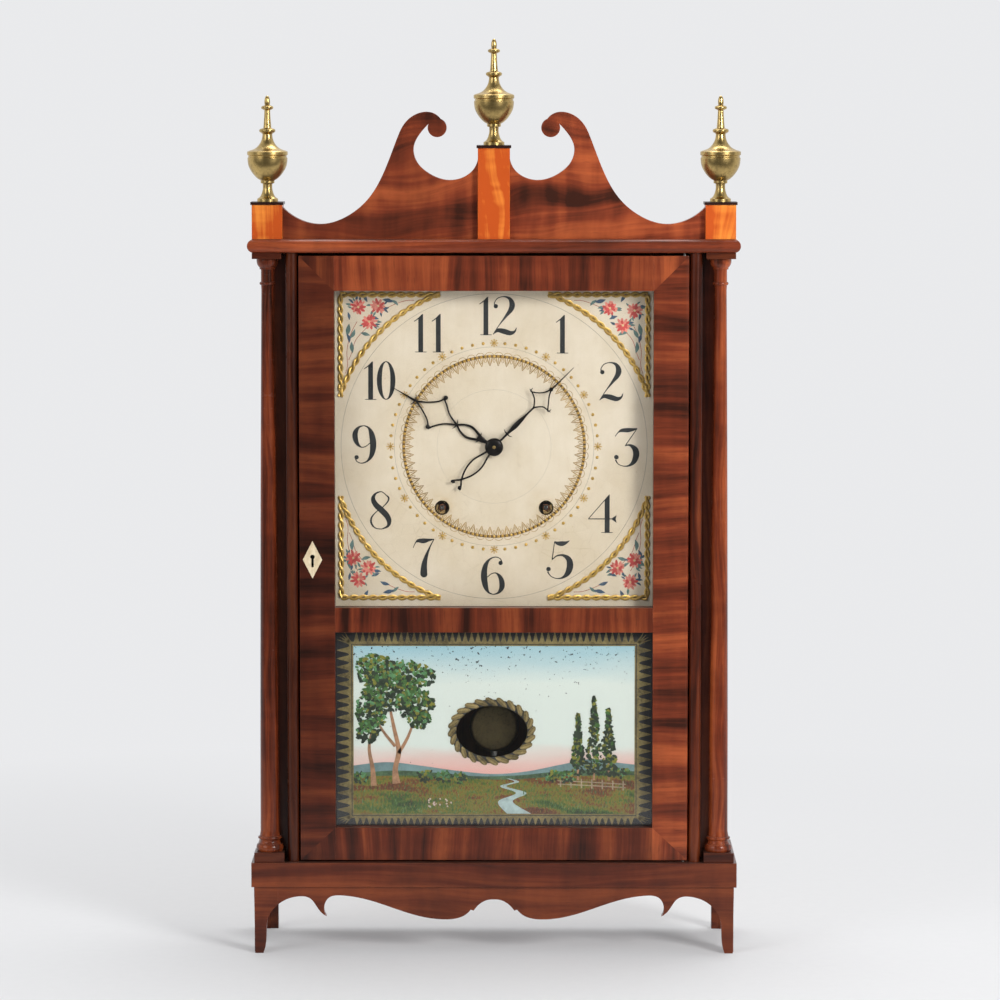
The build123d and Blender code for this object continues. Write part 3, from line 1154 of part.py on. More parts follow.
# Each cord runs straight from its drum, then over its pulley
DRUM_REACH = DRUM_RADIUS + CORD_CLEARANCE + CORD_RADIUS
pulley_place = (PULLEY_X, PULLEY_Z)
cord_span = hypot(PULLEY_X - TIME_DRUM[0], PULLEY_Z - TIME_DRUM[1])
cord_tilt = degrees(acos((CORD_REACH - DRUM_REACH) / cord_span))
cord_normal = direction(TIME_DRUM, pulley_place) + 180 - cord_tilt
leaves_drum = away(TIME_DRUM, DRUM_REACH, cord_normal)
meets_pulley = away(pulley_place, CORD_REACH, cord_normal)
over_top = away(pulley_place, CORD_REACH, cord_normal / 2)
with BuildPart() as cord_runs:
    with BuildLine(Plane.XZ.offset(-CORD_Y)) as cord_path:
        Line(leaves_drum, meets_pulley)
        ThreePointArc(meets_pulley, over_top, (WEIGHT_X, PULLEY_Z))
    with BuildSketch(Plane(origin=cord_path.line @ 0, z_dir=cord_path.line % 0)) as cord_section:
        Circle(CORD_RADIUS)
    sweep(cord_section.sketch, path=cord_path.line)
    mirror(about=Plane.YZ)
save(cord_runs, "cord_runs")
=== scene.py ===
import random
from math import atan2, cos, degrees, pi, radians, sin, sqrt

import bmesh
import bpy
from bpy.props import FloatProperty, FloatVectorProperty, IntProperty, PointerProperty
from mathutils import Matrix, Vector


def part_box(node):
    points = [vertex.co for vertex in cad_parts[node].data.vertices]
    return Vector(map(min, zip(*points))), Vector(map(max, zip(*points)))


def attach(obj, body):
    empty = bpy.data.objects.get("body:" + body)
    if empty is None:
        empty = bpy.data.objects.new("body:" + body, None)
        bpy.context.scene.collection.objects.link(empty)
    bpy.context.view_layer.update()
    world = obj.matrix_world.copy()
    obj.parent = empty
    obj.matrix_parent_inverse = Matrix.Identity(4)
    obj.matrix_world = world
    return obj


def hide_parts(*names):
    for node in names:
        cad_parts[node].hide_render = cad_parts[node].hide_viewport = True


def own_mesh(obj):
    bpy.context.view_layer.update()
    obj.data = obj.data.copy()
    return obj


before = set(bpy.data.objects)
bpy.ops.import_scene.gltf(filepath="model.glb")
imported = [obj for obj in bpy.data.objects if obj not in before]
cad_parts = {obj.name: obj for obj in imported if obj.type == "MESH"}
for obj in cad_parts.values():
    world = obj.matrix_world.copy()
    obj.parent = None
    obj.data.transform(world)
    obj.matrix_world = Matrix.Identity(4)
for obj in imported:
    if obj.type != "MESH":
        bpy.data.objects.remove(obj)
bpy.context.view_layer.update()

bl_info = {
    "name": "Pillar and scroll clock",
    "version": (1, 0, 0),
    "blender": (4, 5, 0),
    "location": "3D View > Sidebar > Clock",
    "description": "Dresses the CAD model of a pillar and scroll shelf clock",
    "category": "Object",
}

# Everything here is in metres: +Z is up, +X is to the right and the front faces -Y.
MM = 0.001

DOOR_LOW, DOOR_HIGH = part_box("door_stiles")
GLASS_LOW, GLASS_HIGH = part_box("tablet_glass")
MINUTE_LOW, MINUTE_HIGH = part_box("minute_hand")
HOUR_LOW, HOUR_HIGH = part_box("hour_hand")
BUSH_LOW, BUSH_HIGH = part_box("winding_bushes")
PLINTH_LOW, PLINTH_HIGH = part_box("finial_plinths")

REBATE = 3.0 * MM
PAINT_UNDER_REBATE = 0.1 * MM
OPENING_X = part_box("door_rails")[1].x
TABLET_LOW_Z = GLASS_LOW.z + REBATE - PAINT_UNDER_REBATE
TABLET_HIGH_Z = GLASS_HIGH.z - REBATE + PAINT_UNDER_REBATE
DIAL_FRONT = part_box("dial_board")[0].y
DIAL_CENTRE_Z = 0.445
BUSH_RADIUS = 6.5 * MM
WINDING_X = BUSH_HIGH.x - BUSH_RADIUS
WINDING_Z = (BUSH_LOW.z + BUSH_HIGH.z) / 2


def colour(red, green, blue):
    """Opaque colour, in linear values."""
    return (red, green, blue, 1.0)


def shaded(tint, factor, lift=0.0):
    """A colour made darker or lighter, up to white at most."""
    return colour(*(min(1.0, part * factor + lift) for part in tint[:3]))


# ---- Settings that a user would change ----
def paint(name, description, default):
    """A colour setting."""
    return FloatVectorProperty(
        name=name, description=description, default=default, size=4, min=0.0, max=1.0, subtype="COLOR")


def length(name, description, default):
    """A length setting, in metres."""
    return FloatProperty(name=name, description=description, default=default, min=0.0, unit="LENGTH")


def share(name, description, default):
    """A setting from nothing to all."""
    return FloatProperty(name=name, description=description, default=default, min=0.0, max=1.0,
                         subtype="FACTOR")


class WoodSettings(bpy.types.PropertyGroup):
    """Colours and gloss of the case's woods."""
    dark: paint("Dark streaks", "Darkest colour of the mahogany's figure", colour(0.022, 0.0052, 0.0022))
    middle: paint("Body", "Main colour of the mahogany", colour(0.118, 0.0205, 0.0068))
    light: paint("Light streaks", "Lightest colour of the mahogany's figure", colour(0.245, 0.053, 0.0150))
    satin_dark: paint("Satin veneer, dark", "Darker figure of the plinths' light veneer",
                      colour(0.470, 0.070, 0.0060))
    satin_light: paint("Satin veneer, light", "Lighter figure of the plinths' light veneer",
                       colour(0.860, 0.290, 0.0400))
    pine: paint("Secondary wood", "Colour of the plain pine inside and behind", colour(0.360, 0.215, 0.100))
    gloss: share("Polish", "Roughness of the shellac polish", 0.30)


class MetalSettings(bpy.types.PropertyGroup):
    """Colours of the brass, iron and steel."""
    brass: paint("Brass", "Bright brass", colour(0.600, 0.430, 0.165))
    tarnish: paint("Tarnish", "Brown film on the old brass", colour(0.120, 0.075, 0.026))
    steel: paint("Steel", "Grey steel of the arbors", colour(0.300, 0.290, 0.275))
    black: paint("Blackened steel", "Dark finish of the hands", colour(0.0085, 0.0080, 0.0080))
    iron: paint("Cast iron", "Rusted iron of the weights", colour(0.050, 0.032, 0.024))


class DialSettings(bpy.types.PropertyGroup):
    """Colours and sizes of the painted dial."""
    ground: paint("Ground", "Ivory ground of the dial", colour(0.705, 0.613, 0.478))
    numeral: paint("Numerals", "Black paint of the numerals", colour(0.0105, 0.0125, 0.0135))
    gilt: paint("Gilt", "Raised gilding on the dial", colour(0.560, 0.345, 0.075))
    petal: paint("Petals", "Red paint of the daisies", colour(0.560, 0.060, 0.050))
    petal_pale: paint("Pale petals", "Pink paint of the daisies", colour(0.720, 0.230, 0.170))
    leaf: paint("Leaves", "Blue green paint of the leaves", colour(0.110, 0.190, 0.170))
    leaf_dark: paint("Dark leaves", "Dark blue paint of the leaves", colour(0.045, 0.085, 0.140))
    numeral_height: length("Numeral height", "Height of the hour numerals", 34.0 * MM)
    outer_ring: length("Outer ring", "Radius of the outer fine circle", 134.4 * MM)
    inner_ring: length("Inner ring", "Radius of the inner fine circle", 87.6 * MM)
    bead_ring: length("Bead ring", "Radius of the gilt bead ring", 79.4 * MM)
    star_ring: length("Star ring", "Radius of the ring of stars", 91.0 * MM)


class TabletSettings(bpy.types.PropertyGroup):
    """Colours and sizes of the painted glass tablet."""
    sky_top: paint("Upper sky", "Blue at the top of the picture", colour(0.300, 0.500, 0.560))
    sky_middle: paint("Middle sky", "Off white of the middle sky", colour(0.640, 0.700, 0.640))
    sky_low: paint("Low sky", "Pink glow at the horizon", colour(0.700, 0.380, 0.330))
    border: paint("Border", "Black ground of the border", colour(0.0060, 0.0065, 0.0085))
    border_gold: paint("Border leaves", "Bronze gold of the border and the rope", colour(0.205, 0.150, 0.055))
    border_side: length("Side border", "Width of the border at the sides", 15.5 * MM)
    border_top: length("Top border", "Height of the border at the top", 13.5 * MM)
    border_foot: length("Bottom border", "Height of the border at the bottom", 10.5 * MM)
    oval_width: length("Oval width", "Width of the rope oval", 77.6 * MM)
    oval_height: length("Oval height", "Height of the rope oval", 60.4 * MM)
    rope_width: length("Rope width", "Width of the rope round the oval", 7.5 * MM)


class StageSettings(bpy.types.PropertyGroup):
    """Camera, lights and backdrop."""
    backdrop: paint("Backdrop", "Pale grey of the floor and backdrop", colour(0.820, 0.825, 0.840))
    key: FloatProperty(name="Key light", description="Power of the main light", default=66.0, min=0.0,
                       unit="POWER")
    fill: FloatProperty(name="Fill light", description="Power of the fill light", default=26.0, min=0.0,
                        unit="POWER")
    around: share("Room light", "Brightness of the light from all round", 0.42)
    lens: FloatProperty(name="Lens", description="Focal length of the camera", default=165.9, min=1.0,
                        unit="CAMERA")
    distance: length("Distance", "Distance of the camera in front of the middle", 4.064)
    eye: length("Eye height", "Height of the camera", 0.7787)


class ClockSettings(bpy.types.PropertyGroup):
    """All settings of the clock."""
    wood: PointerProperty(type=WoodSettings, name="Wood", description="Woods of the case")
    metal: PointerProperty(type=MetalSettings, name="Metal", description="Metals of the clock")
    dial: PointerProperty(type=DialSettings, name="Dial", description="Painted dial")
    tablet: PointerProperty(type=TabletSettings, name="Tablet", description="Painted glass tablet")
    stage: PointerProperty(type=StageSettings, name="Stage", description="Camera, lights and backdrop")
    seed: IntProperty(name="Seed", description="Seed of the hand painted strokes", default=11, min=0)


# ---- Nodes ----
class Wiring:
    """Places and joins the nodes of one tree."""

    def __init__(self, tree):
        self.tree = tree

    def put(self, kind, values=None, **settings):
        """A node with its settings, and its inputs as values or sockets."""
        made = self.tree.nodes.new("ShaderNode" + kind)
        for name, value in settings.items():
            setattr(made, name, value)
        for key, value in (values or {}).items():
            self.feed(made.inputs[key], value)
        count = len(self.tree.nodes)
        made.location = (220 * (count // 5), -260 * (count % 5))
        return made

    def feed(self, socket, value):
        """Joins a socket to an input, or sets the input."""
        if isinstance(value, bpy.types.NodeSocket):
            self.tree.links.new(value, socket)
        else:
            socket.default_value = value

    def math(self, operation, first, second=0.0, clamp=False):
        """One step of arithmetic."""
        return self.put("Math", {0: first, 1: second}, operation=operation, use_clamp=clamp).outputs[0]

    def plus(self, first, second, clamp=False):
        """The sum of two values."""
        return self.math("ADD", first, second, clamp)

    def minus(self, first, second, clamp=False):
        """The first value less the second."""
        return self.math("SUBTRACT", first, second, clamp)

    def times(self, first, second, clamp=False):
        """The product of two values."""
        return self.math("MULTIPLY", first, second, clamp)

    def reach(self, first, second):
        """How far a point with these two parts lies from the middle."""
        return self.math("SQRT", self.plus(self.times(first, first), self.times(second, second)))

    def mix(self, factor, first, second, blend="MIX"):
        """Mixes two colours."""
        made = self.put("Mix", {0: factor, 6: first, 7: second}, data_type="RGBA", blend_type=blend)
        return made.outputs[2]

    def blend_values(self, factor, first, second):
        """Mixes two plain values."""
        return self.put("Mix", {0: factor, 2: first, 3: second}, data_type="FLOAT").outputs[0]

    def scaled(self, vector, scale):
        """A vector times a scale on each axis."""
        return self.put("VectorMath", {0: vector, 1: scale}, operation="MULTIPLY").outputs[0]

    def noise(self, vector, scale=1.0, detail=3.0, rough=0.5, distortion=0.0):
        """Soft noise from 0 to 1."""
        made = self.put("TexNoise", {"Vector": vector, "Scale": scale, "Detail": detail, "Roughness": rough,
                                     "Distortion": distortion})
        return made.outputs[0]

    def spread(self, value, low, high, to_low=0.0, to_high=1.0):
        """A value stretched from one range to another, and held inside it."""
        made = self.put("MapRange", {0: value, 1: low, 2: high, 3: to_low, 4: to_high})
        return made.outputs[0]

    def ramp(self, value, stops):
        """A colour read from stops of (place, colour)."""
        made = self.put("ValToRGB", {0: value})
        band = made.color_ramp
        while len(band.elements) < len(stops):
            band.elements.new(0.5)
        for element, (place, tint) in zip(band.elements, stops):
            element.position = place
            element.color = tint
        return made.outputs[0]

    def place(self):
        """Coordinates of the object, in metres."""
        return self.put("TexCoord").outputs["Object"]

    def axes(self, vector):
        """The three parts of a vector."""
        return self.put("SeparateXYZ", {0: vector}).outputs

    def joined(self, x, y, z):
        """A vector from its three parts."""
        return self.put("CombineXYZ", {0: x, 1: y, 2: z}).outputs[0]

    def bump(self, height, strength=0.3, distance=0.0003, normal=None):
        """A bumped normal."""
        values = {"Height": height, "Strength": strength, "Distance": distance}
        if normal is not None:
            values["Normal"] = normal
        return self.put("Bump", values).outputs[0]

    def effect(self, group, **values):
        """One of the shared effects, with its inputs named with underscores."""
        made = self.tree.nodes.new("ShaderNodeGroup")
        made.node_tree = group
        for key, value in values.items():
            self.feed(made.inputs[key.replace("_", " ").capitalize()], value)
        made.location = (220 * (len(self.tree.nodes) // 5), 300)
        return made.outputs

    def dress(self, shader, tint, rough, normal):
        """Feeds a shader's colour, roughness and normal."""
        for name, value in (("Base Color", tint), ("Roughness", rough), ("Normal", normal)):
            self.feed(shader.inputs[name], value)

    def show(self, factor, first, second):
        """Puts a mix of two shaders on the material's output."""
        both = self.put("MixShader", {0: factor, 1: first.outputs[0], 2: second.outputs[0]})
        output = next(node for node in self.tree.nodes if node.type == "OUTPUT_MATERIAL")
        self.tree.links.new(both.outputs[0], output.inputs[0])


SOCKETS = {"colour": "NodeSocketColor", "value": "NodeSocketFloat", "vector": "NodeSocketVector"}


def effect_group(name, inputs, outputs):
    """An empty node group with named sockets, its wiring, and its two end nodes."""
    group = bpy.data.node_groups.new(name, "ShaderNodeTree")
    for label, kind, default in inputs:
        socket = group.interface.new_socket(name=label, in_out="INPUT", socket_type=SOCKETS[kind])
        if default is not None:
            socket.default_value = default
    for label, kind in outputs:
        group.interface.new_socket(name=label, in_out="OUTPUT", socket_type=SOCKETS[kind])
    wiring = Wiring(group)
    entry = group.nodes.new("NodeGroupInput")
    result = group.nodes.new("NodeGroupOutput")
    entry.location = (-300, 0)
    result.location = (2600, 0)
    return group, wiring, entry.outputs, result.inputs


def grain_group():
    """Figure of a polished wood whose grain runs along the vector's Z."""
    group, w, given, result = effect_group(
        "Wood figure",
        (("Vector", "vector", None), ("Dark", "colour", colour(0.05, 0.01, 0.005)),
         ("Middle", "colour", colour(0.1, 0.03, 0.01)), ("Light", "colour", colour(0.2, 0.06, 0.02)),
         ("Stripes", "value", 60.0), ("Waver", "value", 0.3), ("Ripple", "value", 0.25),
         ("Pores", "value", 0.5)),
        (("Color", "colour"), ("Height", "value"), ("Sheen", "value")))
    vector = given["Vector"]
    drift = w.noise(w.scaled(vector, (9.0, 9.0, 4.5)), detail=2.0)
    drift = w.times(w.minus(drift, 0.5), w.times(given["Waver"], 0.06))
    across, depth, along = w.axes(vector)[:3]
    across = w.plus(across, drift)
    bent = w.joined(across, depth, along)
    stretched = w.scaled(bent, (1.0, 1.0, 0.045))
    broad = w.noise(stretched, given["Stripes"], 3.0, 0.55)
    fine = w.noise(stretched, w.times(given["Stripes"], 7.0), 3.0, 0.6)
    ripple = w.noise(w.scaled(bent, (14.0, 14.0, 75.0)), 1.0, 2.0, 0.5)
    mottle = w.noise(w.scaled(bent, (26.0, 26.0, 9.0)), 1.0, 3.0, 0.6)
    tone = w.plus(w.spread(broad, 0.30, 0.70), w.times(w.minus(fine, 0.5), 0.75))
    tone = w.plus(tone, w.times(w.minus(ripple, 0.5), given["Ripple"]))
    tone = w.plus(tone, w.times(w.minus(mottle, 0.5), 0.45), clamp=True)
    lower = w.mix(w.spread(tone, 0.0, 0.5), given["Dark"], given["Middle"])
    figure = w.mix(w.spread(tone, 0.5, 1.0), lower, given["Light"])
    pores = w.noise(w.scaled(bent, (1500.0, 1500.0, 70.0)), 1.0, 2.0, 0.6)
    pits = w.times(w.spread(pores, 0.60, 0.72), given["Pores"])
    w.feed(result["Color"], w.mix(w.times(pits, 0.7), figure, given["Dark"]))
    w.feed(result["Height"], w.minus(w.times(fine, 0.35), w.times(pits, 0.8)))
    w.feed(result["Sheen"], w.plus(w.times(mottle, 0.5), w.times(pits, 0.5)))
    return group


def wear_group():
    """Mask and softened normal of the edges, rubbed unevenly."""
    group, w, given, result = effect_group(
        "Edge wear", (("Radius", "value", 0.0008), ("Patches", "value", 60.0)),
        (("Mask", "value"), ("Normal", "vector")))
    soft = w.put("Bevel", {"Radius": given["Radius"]}, samples=6)
    flat = w.put("NewGeometry").outputs["Normal"]
    dot = w.put("VectorMath", {0: soft.outputs[0], 1: flat}, operation="DOT_PRODUCT").outputs["Value"]
    edge = w.spread(dot, 0.995, 0.80)
    patches = w.noise(w.place(), given["Patches"], 3.0, 0.6)
    w.feed(result["Mask"], w.times(edge, w.spread(patches, 0.38, 0.62), clamp=True))
    w.feed(result["Normal"], soft.outputs[0])
    return group


def grime_group():
    """Dust on upward faces and old dirt in patches."""
    group, w, given, result = effect_group(
        "Dust and grime", (("Dust", "value", 0.3), ("Patches", "value", 25.0)),
        (("Dust", "value"), ("Grime", "value")))
    up = w.axes(w.put("NewGeometry").outputs["Normal"])[2]
    cloud = w.noise(w.place(), given["Patches"], 4.0, 0.62)
    speck = w.noise(w.place(), 900.0, 2.0, 0.5)
    dust = w.times(w.spread(up, 0.55, 0.98), w.times(given["Dust"], w.spread(speck, 0.35, 0.65)))
    w.feed(result["Dust"], w.times(dust, w.spread(cloud, 0.25, 0.7, 0.5, 1.0), clamp=True))
    w.feed(result["Grime"], w.spread(cloud, 0.42, 0.72))
    return group


def scratch_group():
    """Fine handling scratches and smears, as a mask and a height."""
    group, w, given, result = effect_group(
        "Fine scratches", (("Scale", "value", 250.0), ("Amount", "value", 0.5)),
        (("Mask", "value"), ("Height", "value")))
    place = w.place()
    first = w.noise(w.scaled(place, (1.0, 1.0, 0.06)), given["Scale"], 3.0, 0.7, 0.4)
    second = w.noise(w.scaled(place, (0.05, 1.0, 1.0)), given["Scale"], 3.0, 0.7, 0.4)
    lines = w.math("MAXIMUM", w.spread(first, 0.58, 0.72), w.spread(second, 0.60, 0.74))
    w.feed(result["Mask"], w.times(lines, given["Amount"], clamp=True))
    w.feed(result["Height"], w.minus(0.0, lines))
    return group


EFFECTS = {}


def effects():
    """The shared node groups, built once."""
    if not EFFECTS:
        EFFECTS.update(grain=grain_group(), wear=wear_group(), grime=grime_group(), scratch=scratch_group())
    return EFFECTS


def new_material(name):
    """A material with its wiring, shader and output."""
    material = bpy.data.materials.new(name)
    material.use_nodes = True
    material.node_tree.nodes.clear()
    wiring = Wiring(material.node_tree)
    shader = wiring.put("BsdfPrincipled")
    output = wiring.put("OutputMaterial")
    material.node_tree.links.new(shader.outputs[0], output.inputs[0])
    return material, wiring, shader


GRAIN_TURNS = {
    "upright": ("x", "y", "z"),
    "crosswise": ("z", "y", "x"),
    "front to back": ("x", "z", "y"),
}


def turned(w, place, grain):
    """Coordinates with the grain's direction moved to Z."""
    parts = dict(zip("xyz", w.axes(place)))
    return w.joined(*(parts[axis] for axis in GRAIN_TURNS[grain]))


def polished_wood(name, wood, grain, stripes=42.0, waver=0.6, ripple=0.3, shade=1.0, gloss=None,
                  coordinates=None, tints=None, wear=0.0007, pores=0.6):
    """Shellac polished wood, with figure, edges painted lighter as wear and as a painted highlight, dust and
    fine scratches.
    """
    material, w, shader = new_material(name)
    dark, middle, light = (shaded(tint, shade) for tint in tints or (wood.dark, wood.middle, wood.light))
    vector = coordinates(w) if coordinates else turned(w, w.place(), grain)
    figure = w.effect(effects()["grain"], vector=vector, dark=dark, middle=middle, light=light,
                      stripes=stripes, waver=waver, ripple=ripple, pores=pores)
    edges = w.effect(effects()["wear"], radius=wear, patches=70.0)
    grime = w.effect(effects()["grime"], dust=0.25)
    scratch = w.effect(effects()["scratch"], scale=180.0, amount=0.35)
    tint = w.mix(w.times(grime["Grime"], 0.35), figure["Color"], dark)
    # Edges painted lighter: rubbed finish, and also a painted highlight along the edges.
    tint = w.mix(w.times(edges["Mask"], 0.55), tint, shaded(light, 1.7, 0.02))
    rough = w.plus(w.times(figure["Sheen"], 0.16), wood.gloss if gloss is None else gloss)
    rough = w.plus(rough, w.times(scratch["Mask"], 0.14))
    height = w.plus(figure["Height"], w.times(scratch["Height"], 0.25))
    w.dress(shader, w.mix(grime["Dust"], tint, colour(0.30, 0.26, 0.22)),
            w.plus(rough, w.times(grime["Dust"], 0.35), clamp=True),
            w.bump(height, 0.22, 0.00015, edges["Normal"]))
    for setting, value in (("Coat Weight", 0.22), ("Coat Roughness", 0.16), ("Specular IOR Level", 0.20)):
        shader.inputs[setting].default_value = value
    return material


def plain_wood(name, tint, grain, stripes=70.0, rough=0.62):
    """Unpolished sawn wood, dry and a little dirty."""
    material, w, shader = new_material(name)
    dark, middle, light = (shaded(tint, factor) for factor in (0.45, 0.9, 1.25))
    figure = w.effect(effects()["grain"], vector=turned(w, w.place(), grain), dark=dark, middle=middle,
                      light=light, stripes=stripes, waver=0.9, ripple=0.1, pores=0.35)
    grime = w.effect(effects()["grime"], dust=0.35, patches=14.0)
    edges = w.effect(effects()["wear"], radius=0.0006)
    body = w.mix(w.times(grime["Grime"], 0.45), figure["Color"], dark)
    body = w.mix(w.times(edges["Mask"], 0.4), body, light)
    w.dress(shader, w.mix(grime["Dust"], body, colour(0.33, 0.30, 0.26)),
            w.plus(w.times(figure["Sheen"], 0.25), rough, clamp=True),
            w.bump(figure["Height"], 0.45, 0.0003, edges["Normal"]))
    return material


def old_metal(name, bright, dull, rough=0.3, film=0.6, patches=45.0, dust=0.1, metallic=1.0, scale=240.0):
    """Metal with a film of tarnish, rubbed edges and fine scratches."""
    material, w, shader = new_material(name)
    edges = w.effect(effects()["wear"], radius=0.0005, patches=90.0)
    grime = w.effect(effects()["grime"], dust=dust, patches=patches)
    scratch = w.effect(effects()["scratch"], scale=scale, amount=0.6)
    spots = w.noise(w.place(), 420.0, 4.0, 0.65)
    cover = w.times(w.plus(w.times(grime["Grime"], 0.7), w.spread(spots, 0.5, 0.75)), film, clamp=True)
    cover = w.minus(cover, w.times(edges["Mask"], 0.6), clamp=True)
    tint = w.mix(w.times(scratch["Mask"], 0.25), w.mix(cover, bright, dull), shaded(bright, 1.3))
    shine = w.plus(w.times(cover, 0.22), rough)
    height = w.plus(w.times(scratch["Height"], 0.3), w.times(spots, -0.4))
    w.dress(shader, w.mix(grime["Dust"], tint, colour(0.30, 0.27, 0.22)),
            w.plus(shine, w.times(scratch["Mask"], 0.10), clamp=True),
            w.bump(height, 0.15, 0.0001, edges["Normal"]))
    shader.inputs["Metallic"].default_value = metallic
    return material


def brushed_paint(name, tint, uneven=0.18, rough=0.5, scale=320.0, metallic=0.0, second=None):
    """Old oil paint with uneven strokes and small losses of colour."""
    material, w, shader = new_material(name)
    strokes = w.noise(w.place(), scale, 4.0, 0.65, 0.6)
    clouds = w.noise(w.place(), scale * 0.16, 3.0, 0.6)
    tone = w.plus(w.times(strokes, 0.55), w.times(clouds, 0.55))
    pale = second or shaded(tint, 1.0 + uneven, 0.01)
    w.dress(shader, w.mix(w.spread(tone, 0.35, 0.75), shaded(tint, 1.0 - uneven * 1.6), pale),
            w.plus(w.times(strokes, 0.25), rough - 0.12, clamp=True),
            w.bump(strokes, 0.35, 0.00012))
    shader.inputs["Metallic"].default_value = metallic
    return material


def finish_nodes(material, *nodes):
    """Gives CAD nodes a material on all their slots."""
    for node in nodes:
        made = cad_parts[node]
        for slot in made.material_slots:
            slot.material = material
        if not made.material_slots:
            made.data.materials.append(material)


# ---- Mesh building ----
def smoothed(points, steps=8, closed=False):
    """Points of a smooth line through the given points, whatever each point holds."""
    count = len(points)
    if count < 3:
        return [tuple(point) for point in points]
    line = []
    spans = count if closed else count - 1
    for index in range(spans):
        if closed:
            a, b, c, d = (points[(index + shift) % count] for shift in (-1, 0, 1, 2))
        else:
            a, b = points[max(index - 1, 0)], points[index]
            c, d = points[index + 1], points[min(index + 2, count - 1)]
        for step in range(steps):
            t = step / steps
            line.append(tuple(
                0.5 * (2 * q + (r - p) * t + (2 * p - 5 * q + 4 * r - s) * t**2 + (3 * q - p - 3 * r + s) * t**3)
                for p, q, r, s in zip(a, b, c, d)))
    if not closed:
        line.append(tuple(points[-1]))
    return line


def evenly(path, step):
    """The path as Vectors, spaced about a step apart."""
    path = [Vector(point) for point in path]
    line = [path[0]]
    for start, end in zip(path, path[1:]):
        pieces = max(1, round((end - start).length / step))
        line.extend(start.lerp(end, part / pieces) for part in range(1, pieces + 1))
    return line


def polar(radius, angle, centre=(0.0, DIAL_CENTRE_Z)):
    """Point (x, z) round a centre, with the angle in degrees from +X."""
    return (centre[0] + radius * cos(radians(angle)), centre[1] + radius * sin(radians(angle)))


def framed(path):
    """Each place of a path, with its directions to the side and to the back."""
    last = len(path) - 1
    for index, centre in enumerate(path):
        run = (path[min(index + 1, last)] - path[max(index - 1, 0)]).normalized()
        back = (Vector((0, 1, 0)) - run * run.y).normalized()
        yield centre, run.cross(back), back


def around(low, high, count):
    """Faces between two rings of as many corners, counted from each ring's first corner."""
    return [(low + i, low + (i + 1) % count, high + (i + 1) % count, high + i) for i in range(count)]


